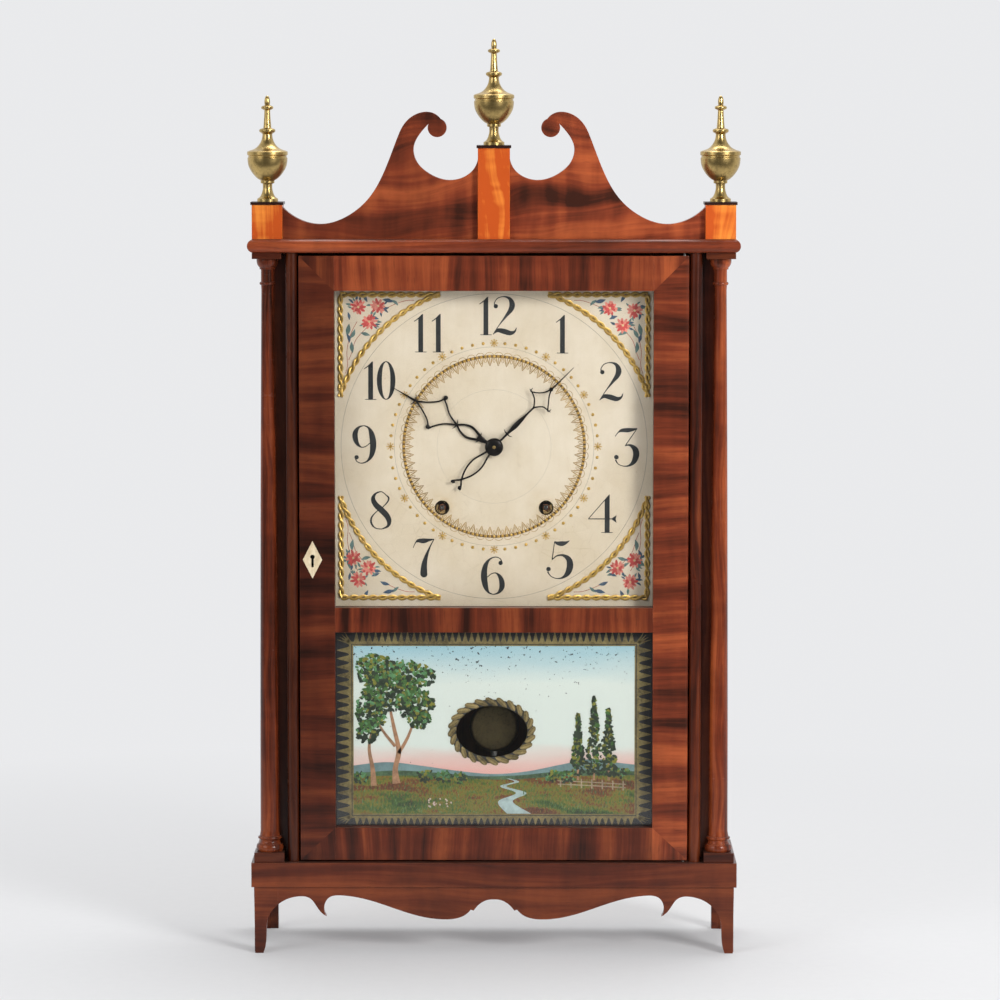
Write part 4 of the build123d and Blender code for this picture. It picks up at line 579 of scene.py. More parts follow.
class Shape:
    """Collects the corners and faces of one piece."""

    def __init__(self):
        self.points = []
        self.faces = []
        self.slots = []

    def add(self, points, faces, slot=0):
        """Adds corners, and faces counted from the first of them."""
        base = len(self.points)
        self.points.extend(tuple(point) for point in points)
        self.faces.extend(tuple(base + corner for corner in face) for face in faces)
        self.slots.extend([slot] * len(faces))

    def prism(self, outline, near, far, slot=0):
        """A flat shape given as (x, z), between two depths."""
        count = len(outline)
        points = [(x, near, z) for x, z in outline] + [(x, far, z) for x, z in outline]
        faces = [tuple(range(count)), tuple(range(2 * count - 1, count - 1, -1))]
        faces += [(i, (i + 1) % count, count + (i + 1) % count, count + i) for i in range(count)]
        self.add(points, faces, slot)

    def band(self, inner, outer, near, far, slot=0):
        """A flat closed ring between two outlines of as many corners."""
        count = len(inner)
        points = [(x, y, z) for y in (near, far) for ring in (inner, outer) for x, z in ring]
        faces = []
        for i in range(count):
            j = (i + 1) % count
            faces.append((i, j, count + j, count + i))
            faces.append((2 * count + i, 3 * count + i, 3 * count + j, 2 * count + j))
            faces.append((i, 2 * count + i, 2 * count + j, j))
            faces.append((count + i, count + j, 3 * count + j, 3 * count + i))
        self.add(points, faces, slot)

    def stroke(self, points, near, far, slot=0, closed=False, steps=7):
        """A brush stroke through (x, z, width), between two depths."""
        line = smoothed(points, steps, closed)
        left, right = [], []
        for index, (x, z, width) in enumerate(line):
            before = line[index - 1] if index or closed else line[0]
            after = line[(index + 1) % len(line)] if index + 1 < len(line) or closed else line[-1]
            run = Vector((after[0] - before[0], after[1] - before[1]))
            run = run.normalized() if run.length else Vector((1, 0))
            left.append((x - run.y * width / 2, z + run.x * width / 2))
            right.append((x + run.y * width / 2, z - run.x * width / 2))
        if closed:
            self.band(left, right, near, far, slot)
        else:
            self.prism(left + right[::-1], near, far, slot)

    def tube(self, path, radii, slot=0, sides=8, depth=1.0):
        """A rod along a path that never runs straight back, flattened front to back by depth."""
        path = [Vector(point) for point in path]
        if not isinstance(radii, (list, tuple)):
            radii = [radii] * len(path)
        points, faces = [], []
        for (centre, side, back), radius in zip(framed(path), radii):
            for turn in range(sides):
                angle = 2 * pi * turn / sides
                points.append(centre + side * radius * cos(angle) + back * radius * depth * sin(angle))
        last = (len(path) - 1) * sides
        for low in range(0, last, sides):
            faces += around(low, low + sides, sides)
        faces += [tuple(range(sides))[::-1], tuple(range(last, last + sides))]
        self.add(points, faces, slot)

    def turned(self, profile, centre, slot=0, steps=24, hollow=False):
        """A form turned about an axis that runs back through its centre, from (radius, along)."""
        points, faces = [], []
        for radius, along in profile:
            for turn in range(steps):
                angle = 2 * pi * turn / steps
                points.append(Vector(centre) + Vector((radius * cos(angle), along, radius * sin(angle))))
        rings = len(profile)
        for ring in range(rings if hollow else rings - 1):
            faces += around(ring * steps, (ring + 1) % rings * steps, steps)
        if not hollow:
            faces += [tuple(range(steps)), tuple(range((rings - 1) * steps, rings * steps))]
        self.add(points, faces, slot)

    def dome(self, x, z, radius, back, height, slot=0, steps=10):
        """A low round boss that rises to the front from a depth."""
        profile = [(radius * cos(radians(angle)) + 1e-6, -height * sin(radians(angle))) for angle in (0, 28,
                                                                                                      55, 78)]
        self.turned(profile, (x, back, z), slot, steps)

    def knob(self, centre, radius, slot=0, depth=1.0, steps=10):
        """A small forged ball, flattened front to back by depth."""
        profile = [(radius * cos(radians(angle)) + 1e-6, radius * depth * sin(radians(angle)))
                   for angle in (-80, -50, -20, 10, 40, 65, 85)]
        self.turned(profile, centre, slot, steps)

    def rope(self, path, radius, pitch, strands, strand, depth, sides, step):
        """Twisted strands laid along a path."""
        line = evenly(path, step)
        gone = [0.0]
        for start, end in zip(line, line[1:]):
            gone.append(gone[-1] + (end - start).length)
        for each in range(strands):
            places = []
            for (centre, side, back), along in zip(framed(line), gone):
                angle = 2 * pi * (along / pitch + each / strands)
                places.append(centre + side * radius * cos(angle) + back * radius * depth * sin(angle))
            self.tube(places, strand, 0, sides, depth)

    def finish(self, name, body, record_slot, materials, sharp=40.0, replaces=()):
        """The piece as an object that rides on its body."""
        mesh = bpy.data.meshes.new(name)
        mesh.from_pydata(self.points, [], self.faces)
        mesh.polygons.foreach_set("material_index", self.slots)
        for material in materials:
            mesh.materials.append(material)
        work = bmesh.new()
        work.from_mesh(mesh)
        bmesh.ops.recalc_face_normals(work, faces=work.faces)
        work.to_mesh(mesh)
        work.free()
        mesh.polygons.foreach_set("use_smooth", [True] * len(mesh.polygons))
        mesh.set_sharp_from_angle(angle=radians(sharp))
        mesh.update()
        piece = bpy.data.objects.new(name, mesh)
        bpy.context.scene.collection.objects.link(piece)
        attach(piece, body)
        if replaces:
            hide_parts(*replaces)
        return piece


# ---- Case ----
STILE_WIDTH = DOOR_HIGH.x - OPENING_X
TOP_RAIL = 30.4 * MM
BOTTOM_RAIL = 28.6 * MM


def crossbanded(w):
    """Grain across the stiles and up the rails, mitred at the door's corners."""
    x, y, z = w.axes(w.place())[:3]
    inset = w.math("DIVIDE", w.minus(DOOR_HIGH.x, w.math("ABSOLUTE", x)), STILE_WIDTH)
    top = w.math("DIVIDE", w.minus(DOOR_HIGH.z, z), TOP_RAIL)
    foot = w.math("DIVIDE", w.minus(z, DOOR_LOW.z), BOTTOM_RAIL)
    on_rail = w.math("LESS_THAN", w.math("MINIMUM", top, foot), inset)
    chosen = w.put("Mix", {0: on_rail, 4: w.joined(z, y, x), 5: w.joined(x, y, z)}, data_type="VECTOR")
    return chosen.outputs[1]


SIDE_PLINTH_HEIGHT = 29.7 * MM
CAP_HEIGHT = 2.4 * MM
CAP_JOINT = 0.05 * MM
MIDDLE_PLINTH_REACH = 0.1


def tint_of(material):
    """A material's wiring, its shader's colour input, and the socket that feeds that input."""
    w = Wiring(material.node_tree)
    entry = next(node for node in w.tree.nodes if node.type == "BSDF_PRINCIPLED").inputs["Base Color"]
    return w, entry, entry.links[0].from_socket


def capped_plinth(wood):
    """Light veneer on the plinths, with dark caps above it."""
    material = polished_wood("Satin veneer with dark caps", wood, "upright", stripes=34.0, waver=1.4,
                             ripple=0.9, tints=(wood.satin_dark, wood.satin_dark, wood.satin_light),
                             pores=0.1,
                             gloss=0.34, wear=0.0004)
    w, entry, veneer = tint_of(material)
    x, y, z = w.axes(w.place())[:3]
    middle = w.math("LESS_THAN", w.math("ABSOLUTE", x), MIDDLE_PLINTH_REACH)
    side_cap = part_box("cornice")[1].z + SIDE_PLINTH_HEIGHT
    cap_z = w.blend_values(middle, side_cap, PLINTH_HIGH.z - CAP_HEIGHT)
    cap = w.math("GREATER_THAN", z, w.minus(cap_z, CAP_JOINT))
    w.feed(entry, w.mix(cap, veneer, colour(0.022, 0.006, 0.0035)))
    return material


def toned_along(material, axis, low, high, at_low, at_high):
    """Veneer whose tone is scaled along an axis, from one tone at the low end to another at the high end."""
    w, entry, tint = tint_of(material)
    tone = w.spread(w.axes(w.place())[axis], low, high, at_low, at_high)
    w.feed(entry, w.put("VectorMath", {0: tint, 3: tone}, operation="SCALE").outputs[0])
    return material


def painted_side_light(material, left, right):
    """Painted light and shade on the veneer: darker at the door's left edge and lighter at its right edge, where
    the key light falls.
    """
    return toned_along(material, 0, -DOOR_HIGH.x, DOOR_HIGH.x, left, right)


# Each polished wood: name, grain, figure, tones at the door's left and right edge as painted light and shade,
# and CAD nodes
WOODS = (
    ("Mahogany stiles, crossbanded", "crosswise",
     dict(stripes=52.0, waver=0.5, ripple=0.35, coordinates=crossbanded, wear=0.0006), (0.62, 1.60),
     ("door_stiles",)),
    ("Mahogany, crosswise", "crosswise", dict(stripes=40.0, shade=0.82), None,
     ("base_frame", "front_apron", "front_feet")),
    ("Mahogany of the cornice", "crosswise", dict(stripes=40.0, shade=1.70), None, ("cornice",)),
    ("Mahogany, front to back", "front to back", dict(stripes=40.0, shade=0.8), None, ("side_aprons",)),
    ("Mahogany, upright", "upright", dict(stripes=46.0, shade=0.8), (0.6, 1.2),
     ("side_panels", "front_stiles", "inner_rails")),
    ("Mahogany beads", "upright", dict(stripes=80.0, shade=0.72, gloss=0.24), (0.5, 1.1), ("jamb_beads",)),
    ("Mahogany columns", "upright", dict(stripes=90.0, shade=1.2, gloss=0.20, wear=0.0004), (0.88, 1.25),
     ("columns",)),
    ("Column blocks", "crosswise", dict(stripes=60.0, shade=0.5, gloss=0.26, wear=0.0006), None,
     ("column_blocks",)),
    ("Figured mahogany of the scrolls", "crosswise",
     dict(stripes=34.0, waver=1.8, ripple=0.9, shade=1.45, gloss=0.30), (0.92, 1.55), ("scroll_boards",)),
    ("Glazing beads", "crosswise", dict(shade=0.4, gloss=0.5), None, ("glazing_beads",)),
)
# Heights between which the rails grow lighter, and their tones there
RAIL_TONES = (0.10, 0.60, 0.95, 1.40)


class ClockCaseWoods(bpy.types.Operator):
    """Polished mahogany, satin veneer and pine on the case"""
    bl_idname = "clock.case_woods"
    bl_label = "Case woods"

    def execute(self, context):
        wood = context.scene.pillar_clock.wood
        # The tones at the left and right are painted light and shade, lighter on the right where the key light
        # falls.
        for name, grain, figure, tones, nodes in WOODS:
            material = polished_wood(name, wood, grain, **figure)
            finish_nodes(painted_side_light(material, *tones) if tones else material, *nodes)
        rails = polished_wood("Mahogany rails, crossbanded", wood, "upright", stripes=52.0, waver=0.5,
                              ripple=0.35, wear=0.0006)
        finish_nodes(toned_along(rails, 2, *RAIL_TONES), "door_rails")
        # Painted light and shade on the plinths too, lighter on the right.
        finish_nodes(painted_side_light(capped_plinth(wood), 1.0, 1.22), "finial_plinths")
        finish_nodes(plain_wood("Pine back", wood.pine, "upright", stripes=85.0), "back_board")
        finish_nodes(plain_wood("Pine partitions", wood.pine, "upright"), "weight_partitions")
        return {"FINISHED"}


class ClockBrass(bpy.types.Operator):
    """Old brass finials, steel hinge pins, and the lock with its bone escutcheon"""
    bl_idname = "clock.brass_and_lock"
    bl_label = "Finials, hinges and lock"

    def execute(self, context):
        metal = context.scene.pillar_clock.metal
        finish_nodes(old_metal("Old turned brass", metal.brass, metal.tarnish, rough=0.27, film=0.55,
                               dust=0.15,
                               scale=600.0), "finials")
        steel = old_metal("Steel pins", metal.steel, metal.iron, rough=0.35)
        finish_nodes(steel, "hinge_pins", "lock_bolt")
        finish_nodes(old_metal("Lock plate", metal.iron, colour(0.02, 0.015, 0.012), rough=0.5, film=0.8),
                     "lock_case")
        material, w, shader = new_material("Bone inlay")
        veins = w.noise(w.scaled(w.place(), (1.0, 1.0, 0.15)), 520.0, 3.0, 0.6)
        grime = w.effect(effects()["grime"], dust=0.0, patches=160.0)
        edges = w.effect(effects()["wear"], radius=0.0005, patches=300.0)
        tint = w.mix(w.spread(veins, 0.4, 0.7), colour(0.66, 0.53, 0.34), colour(0.80, 0.70, 0.50))
        tint = w.mix(w.times(grime["Grime"], 0.35), tint, colour(0.32, 0.20, 0.10))
        w.dress(shader, tint, w.spread(veins, 0.2, 0.8, 0.30, 0.45),
                w.bump(veins, 0.2, 0.0001, edges["Normal"]))
        finish_nodes(material, "escutcheon")
        return {"FINISHED"}


# ---- Dial ----
# Each numeral has strokes of (x, z, width), flat shapes of (x, z) and balls of (x, z, radius),
# in millimetres on a numeral that is 34 high and stands on z = 0.
NUMERAL_UNIT = 34.0
STROKES = {
    "1": ([[(2.0, 33.5, 0.6), (-1.6, 29.8, 0.9), (-5.2, 27.2, 0.7)], [(-4.4, 0.35, 0.6), (5.6, 0.35, 0.6)]],
          [[(-1.6, 0), (2.6, 0), (2.6, 34), (-1.6, 29.4)]], []),
    "2": ([[(-8.8, 25.6, 1.2), (-9.0, 28.6, 0.8), (-6.2, 32.4, 0.8), (-0.8, 33.8, 1.0), (4.2, 32.0, 2.8),
            (6.4, 27.2, 4.9), (5.2, 22.4, 4.3), (0.8, 16.4, 2.2), (-5.0, 8.8, 0.8), (-10.2, 0.7, 0.8)],
           [(-9.8, 1.3, 0.7), (-6.2, 4.2, 3.2), (-0.8, 3.4, 4.6), (4.6, 1.9, 4.0), (8.6, 3.2, 1.9),
            (10.2, 6.6, 0.6)]], [], [(-7.9, 25.4, 1.9)]),
    "3": ([[(-10.2, 26.6, 0.6), (-7.4, 30.2, 1.0), (-4.2, 31.9, 3.0), (1.0, 32.2, 3.8), (6.0, 32.8, 2.4),
            (9.2, 33.7, 0.7)], [(9.0, 33.4, 0.7), (-1.2, 18.6, 0.8)],
           [(-1.6, 18.4, 0.7), (2.8, 19.0, 1.9), (7.2, 15.6, 4.8), (8.4, 10.6, 5.5), (6.4, 4.6, 4.2),
            (2.4, 1.1, 1.8), (-2.6, 0.5, 0.8), (-7.4, 2.4, 0.8), (-9.8, 6.2, 1.3)]], [], [(-9.0, 8.4, 2.0)]),
    "4": ([[(6.1, 33.8, 0.7), (-12.4, 12.5, 0.7)], [(-12.5, 12.4, 0.8), (11.0, 12.4, 0.9)],
           [(-1.0, 0.35, 0.6), (9.0, 0.35, 0.6)]],
          [[(1.9, 0), (6.3, 0), (6.3, 34), (1.9, 28.8)], [(7.4, 12.4), (12.4, 15.8), (11.6, 12.4),
                                                          (12.4, 9.0)]], []),
    "5": ([[(-3.6, 33.2, 0.9), (-1.0, 31.7, 3.0), (3.0, 31.3, 4.3), (6.8, 32.3, 2.3), (9.6, 34.0, 0.5)],
           [(-3.5, 33.0, 0.7), (-5.7, 17.0, 0.8)],
           [(-5.8, 17.0, 0.8), (-1.6, 20.4, 1.2), (4.0, 21.0, 2.2), (9.0, 17.4, 4.8), (10.1, 11.4, 5.7),
            (8.0, 5.2, 4.6), (3.6, 1.3, 1.9), (-1.8, 0.5, 0.8), (-6.8, 2.6, 0.8), (-9.6, 6.6, 1.3)]], [],
          [(-8.8, 8.8, 2.0)]),
    "6": ([[(8.2, 28.6, 1.1), (6.8, 32.0, 0.8), (2.6, 33.6, 0.9), (-2.6, 31.6, 1.6), (-6.3, 26.0, 4.0),
            (-7.6, 17.5, 5.5), (-6.4, 8.4, 4.7), (-3.6, 2.4, 1.8), (0.6, 0.5, 0.8)],
           [(0.6, 0.5, 0.8), (4.8, 1.9, 1.9), (7.8, 6.0, 4.2), (8.2, 11.0, 4.7), (6.4, 16.2, 3.3),
            (3.0, 19.4, 1.1), (-1.0, 18.8, 0.8), (-5.0, 15.6, 0.8)]], [], [(7.0, 28.4, 1.9)]),
    "7": ([[(-9.2, 26.0, 0.6), (-8.0, 29.0, 0.7), (-6.6, 31.4, 1.0)],
           [(-7.0, 31.0, 0.9), (-4.6, 32.3, 3.1), (0.0, 32.2, 4.3), (5.0, 33.0, 2.3), (9.3, 33.8, 0.6)],
           [(9.0, 33.5, 0.8), (5.6, 27.0, 1.3), (2.6, 19.6, 2.8), (0.6, 12.0, 4.7), (0.1, 5.0, 6.0),
            (0.2, 2.2, 6.2)]], [], [(0.2, 2.9, 3.1)]),
    "8": ([[(5.6, 30.0, 0.9), (1.0, 33.5, 0.9), (-4.4, 31.6, 1.8), (-6.4, 27.0, 3.8), (-4.0, 22.0, 4.8),
            (0.6, 17.6, 5.3), (5.4, 12.6, 5.0), (7.6, 7.6, 4.2), (6.4, 3.0, 2.2), (1.0, 0.5, 0.8)],
           [(1.0, 0.5, 0.8), (-4.6, 1.5, 1.0), (-8.0, 5.8, 1.7), (-7.8, 10.6, 1.4), (-4.0, 15.4, 0.9),
            (1.6, 19.6, 0.8), (6.2, 24.4, 1.2), (7.3, 28.0, 1.5), (5.6, 30.2, 1.0)]], [], []),
    "0": ([[(5.95 * cos(radians(turn)), 17 + 16.5 * sin(radians(turn)),
             0.8 + 3.6 * abs(cos(radians(turn))) ** 1.6)
            for turn in range(0, 360, 20)]], [], []),
}
NUMERALS = (
    (4.5, 114.9, (("1", -12.2), ("2", 4.9))), (59.4, 98.9, (("1", 0.0),)), (102.8, 57.1, (("2", 0.0),)),
    (116.4, -0.7, (("3", 0.0),)), (95.3, -59.2, (("4", 0.0),)), (56.7, -100.0, (("5", 0.0),)),
    (-1.3, -114.2, (("6", 0.0),)), (-62.0, -98.5, (("7", 0.0),)), (-100.0, -56.4, (("8", 0.0),)),
    (-113.8, 1.9, (("9", 0.0),)), (-98.8, 58.1, (("1", -10.0), ("0", 4.1))),
    (-56.6, 99.8, (("1", -8.2), ("1", 7.2))),
)
PAINT_LAYER = 0.012 * MM
BEADS = 132
TIPS = 62


def numeral(shape, digit, x, z, height):
    """One painted numeral, standing on z with its middle at x."""
    upside_down = digit == "9"
    strokes, flats, balls = STROKES["6" if upside_down else digit]
    unit = height / NUMERAL_UNIT

    def put(across, up):
        if upside_down:
            across, up = -across, NUMERAL_UNIT - up
        return x + across * unit, z + up * unit

    layer = DIAL_FRONT - 0.10 * MM
    for stroke in strokes:
        line = [(*put(across, up), width * unit) for across, up, width in stroke]
        shape.stroke(line, layer, DIAL_FRONT, closed=digit == "0")
        layer -= PAINT_LAYER
    for flat in flats:
        shape.prism([put(*corner) for corner in flat], layer, DIAL_FRONT)
        layer -= PAINT_LAYER
    for across, up, radius in balls:
        place = put(across, up)
        outline = [polar(radius * unit, turn, place) for turn in range(0, 360, 20)]
        shape.prism(outline, layer, DIAL_FRONT)
        layer -= PAINT_LAYER


def dial_ground(dial):
    """Ivory paint with foxing, faint crackle and dirt near the winding holes."""
    material, w, shader = new_material("Ivory dial ground")
    place = w.place()
    x, y, z = w.axes(place)[:3]
    clouds = w.noise(place, 16.0, 4.0, 0.6)
    strokes = w.noise(w.scaled(place, (1.0, 1.0, 0.12)), 260.0, 3.0, 0.6)
    spots = w.noise(place, 330.0, 2.0, 0.55)
    crackle = w.put("TexVoronoi", {"Vector": place, "Scale": 95.0}, feature="DISTANCE_TO_EDGE").outputs[0]
    crack = w.times(w.spread(crackle, 0.020, 0.0), w.spread(clouds, 0.45, 0.7))
    deep = colour(*(part * shade for part, shade in zip(dial.ground[:3], (0.90, 0.86, 0.78))))
    pale = shaded(dial.ground, 1.035)
    tint = w.mix(w.spread(clouds, 0.35, 0.68), pale, deep)
    tint = w.mix(w.times(w.spread(strokes, 0.45, 0.75), 0.25), tint, deep)
    tint = w.mix(w.times(w.spread(spots, 0.70, 0.78), 0.45), tint, colour(0.36, 0.22, 0.10))
    tint = w.mix(w.times(crack, 0.35), tint, colour(0.30, 0.20, 0.11))
    reach = w.reach(w.minus(w.math("ABSOLUTE", x), WINDING_X), w.minus(z, WINDING_Z))
    stain = w.times(w.spread(reach, 0.020, 0.006), w.spread(w.noise(place, 140.0), 0.3, 0.7))
    tint = w.mix(w.times(stain, 0.45), tint, colour(0.52, 0.36, 0.15))
    w.dress(shader, tint, w.spread(strokes, 0.2, 0.8, 0.42, 0.58),
            w.bump(w.minus(w.times(strokes, 0.5), crack), 0.2, 0.0001))
    return material


def gilding(dial):
    """Gilt relief with rubbed red clay showing in places."""
    material, w, shader = new_material("Raised gilding")
    rub = w.noise(w.place(), 300.0, 4.0, 0.6)
    leaf = w.noise(w.place(), 1200.0, 2.0, 0.5)
    tint = w.mix(w.spread(rub, 0.50, 0.75), dial.gilt, colour(0.235, 0.115, 0.030))
    tint = w.mix(w.times(w.spread(leaf, 0.45, 0.65), 0.35), tint, colour(0.80, 0.60, 0.22))
    w.feed(shader.inputs["Base Color"], tint)
    w.feed(shader.inputs["Roughness"], w.spread(rub, 0.3, 0.7, 0.30, 0.5))
    w.feed(shader.inputs["Metallic"], w.spread(rub, 0.35, 0.75, 0.75, 0.25))
    w.feed(shader.inputs["Normal"], w.bump(leaf, 0.25, 0.0001))
    return material


def gilt_shadow():
    """Painted shade: dark paint under the gilt relief, which shows in its gaps where shade falls."""
    return brushed_paint("Gilt shadow", colour(0.150, 0.085, 0.025), 0.3, 0.5)


class ClockDialFace(bpy.types.Operator):
    """Ivory ground, numerals, fine circles, bead ring and stars of the dial"""
    bl_idname = "clock.dial_face"
    bl_label = "Dial face"

    def execute(self, context):
        dial = context.scene.pillar_clock.dial
        finish_nodes(dial_ground(dial), "dial_board")
        black = brushed_paint("Numeral black", dial.numeral, 0.3, 0.42)
        figures = Shape()
        for across, up, digits in NUMERALS:
            for digit, shift in digits:
                foot = DIAL_CENTRE_Z + up * MM - dial.numeral_height / 2
                numeral(figures, digit, (across + shift) * MM, foot, dial.numeral_height)
        figures.finish("dial_numerals", "case", "dial_paint", [black])
        line_paint = brushed_paint("Fine grey line", colour(0.30, 0.26, 0.20), 0.3)
        circles = Shape()
        for radius, width in ((dial.outer_ring, 0.34 * MM), (dial.inner_ring, 0.26 * MM),
                              (50 * MM, 0.12 * MM)):
            inner = [polar(radius - width / 2, turn * 2) for turn in range(180)]
            outer = [polar(radius + width / 2, turn * 2) for turn in range(180)]
            circles.band(inner, outer, DIAL_FRONT - 0.03 * MM, DIAL_FRONT)
        circles.finish("dial_circles", "case", "dial_paint", [line_paint])
        self.gilt_rings(dial)
        return {"FINISHED"}

    def gilt_rings(self, dial):
        """Beads, pointed tips and stars."""
        gilt = gilding(dial)
        bronze = brushed_paint("Bronze line", colour(0.400, 0.250, 0.085), 0.35, 0.45, metallic=0.15)
        rings = Shape()
        for index in range(BEADS):
            rings.dome(*polar(dial.bead_ring, 360 * index / BEADS), 1.36 * MM, DIAL_FRONT, 1.3 * MM, 0, 12)
        turns = [2.0 * turn for turn in range(180)]
        # Painted shade: a dark band under the beads, which shows between them.
        rings.band([polar(dial.bead_ring - 1.2 * MM, turn) for turn in turns],
                   [polar(dial.bead_ring + 1.2 * MM, turn) for turn in turns], DIAL_FRONT - 0.1 * MM,
                   DIAL_FRONT, 2)
        for index in range(TIPS):
            self.tip(rings, dial.bead_ring, 360 * index / TIPS,
                     DIAL_FRONT - (0.05 if index % 2 else 0.07) * MM)
        for step in range(60):
            x, z = polar(dial.star_ring, 90 - 6 * step)
            rings.dome(x, z, (1.45 if step % 5 else 1.1) * MM, DIAL_FRONT, 1.0 * MM, 0, 10)
            for ray in range(0 if step % 5 else 8):
                start, end = polar(0.7 * MM, ray * 45, (x, z)), polar(3.6 * MM, ray * 45, (x, z))
                rings.stroke([(*start, 0.6 * MM), (*end, 1.0 * MM)],
                             DIAL_FRONT - (0.30 + 0.02 * (ray % 2)) * MM,
                             DIAL_FRONT, 0)
        rings.finish("dial_gilt_rings", "case", "dial_paint", [gilt, bronze, gilt_shadow()])

    def tip(self, shape, ring, middle, near):
        """One pointed tip inside the bead ring, with its curls and the scallop outside."""
        shape.stroke([(*polar(ring - 1.0 * MM, middle), 0.7 * MM),
                      (*polar(ring - 6.2 * MM, middle), 0.5 * MM)],
                     near - 0.02 * MM, DIAL_FRONT, 1)
        for side in (-1, 1):
            edge = ((0.8, 1.75, 0.8), (4.6, 1.05, 1.0), (8.6, 0.0, 0.4))
            curl = ((1.0, 2.9, 0.5), (3.8, 2.2, 0.6), (5.6, 2.7, 0.4))
            for line, lift in ((edge, 0.0), (curl, 0.01)):
                shape.stroke([(*polar(ring - down * MM, middle + side * turn), width * MM)
                              for down, turn, width in line], near - lift * MM, DIAL_FRONT, 1)
        scallop = ((1.4, -2.6), (3.0, -1.5), (3.6, 0.0), (3.0, 1.5), (1.4, 2.6))
        shape.stroke([(*polar(ring + rise * MM, middle + shift), 0.45 * MM) for rise, shift in scallop], near,
                     DIAL_FRONT, 1)


# Flowers of each corner as (x, z) from the dial's middle, and its leaves as (x, z, angle, length, slot)
CORNERS = (
    ((-1, 1), ((-119.0, 122.5), (-101.5, 123.5), (-109.5, 109.8))),
    ((1, 1), ((101.5, 121.6), (123.0, 119.5), (112.8, 106.5))),
    ((-1, -1), ((-124.0, -98.5), (-110.5, -107.0), (-119.5, -117.5))),
    ((1, -1), ((123.5, -100.5), (108.5, -107.2), (119.8, -119.8))),
)
LEAVES = (
    (88, 127, 12, 8.0, 3), (92, 122, -18, 7.0, 3), (84, 124, 40, 6.0, 2), (111, 127, 60, 6.5, 3),
    (127, 108, -80, 9.0, 2), (122, 103, -60, 7.5, 2), (129, 99, -105, 6.5, 3), (117, 100, 195, 7.0, 2),
    (125, 92, -95, 8.0, 2), (101, 112, 20, 6.0, 3), (128, 118, -100, 5.5, 3),
)
STEMS = (
    ((120, 110), (126, 98), (129, 84), (128.5, 72), (130.5, 64)),
    ((112, 104), (121, 94), (125, 82), (127.5, 76)),
    ((98, 120), (88, 124.5), (78, 128), (70, 128.5)),
)


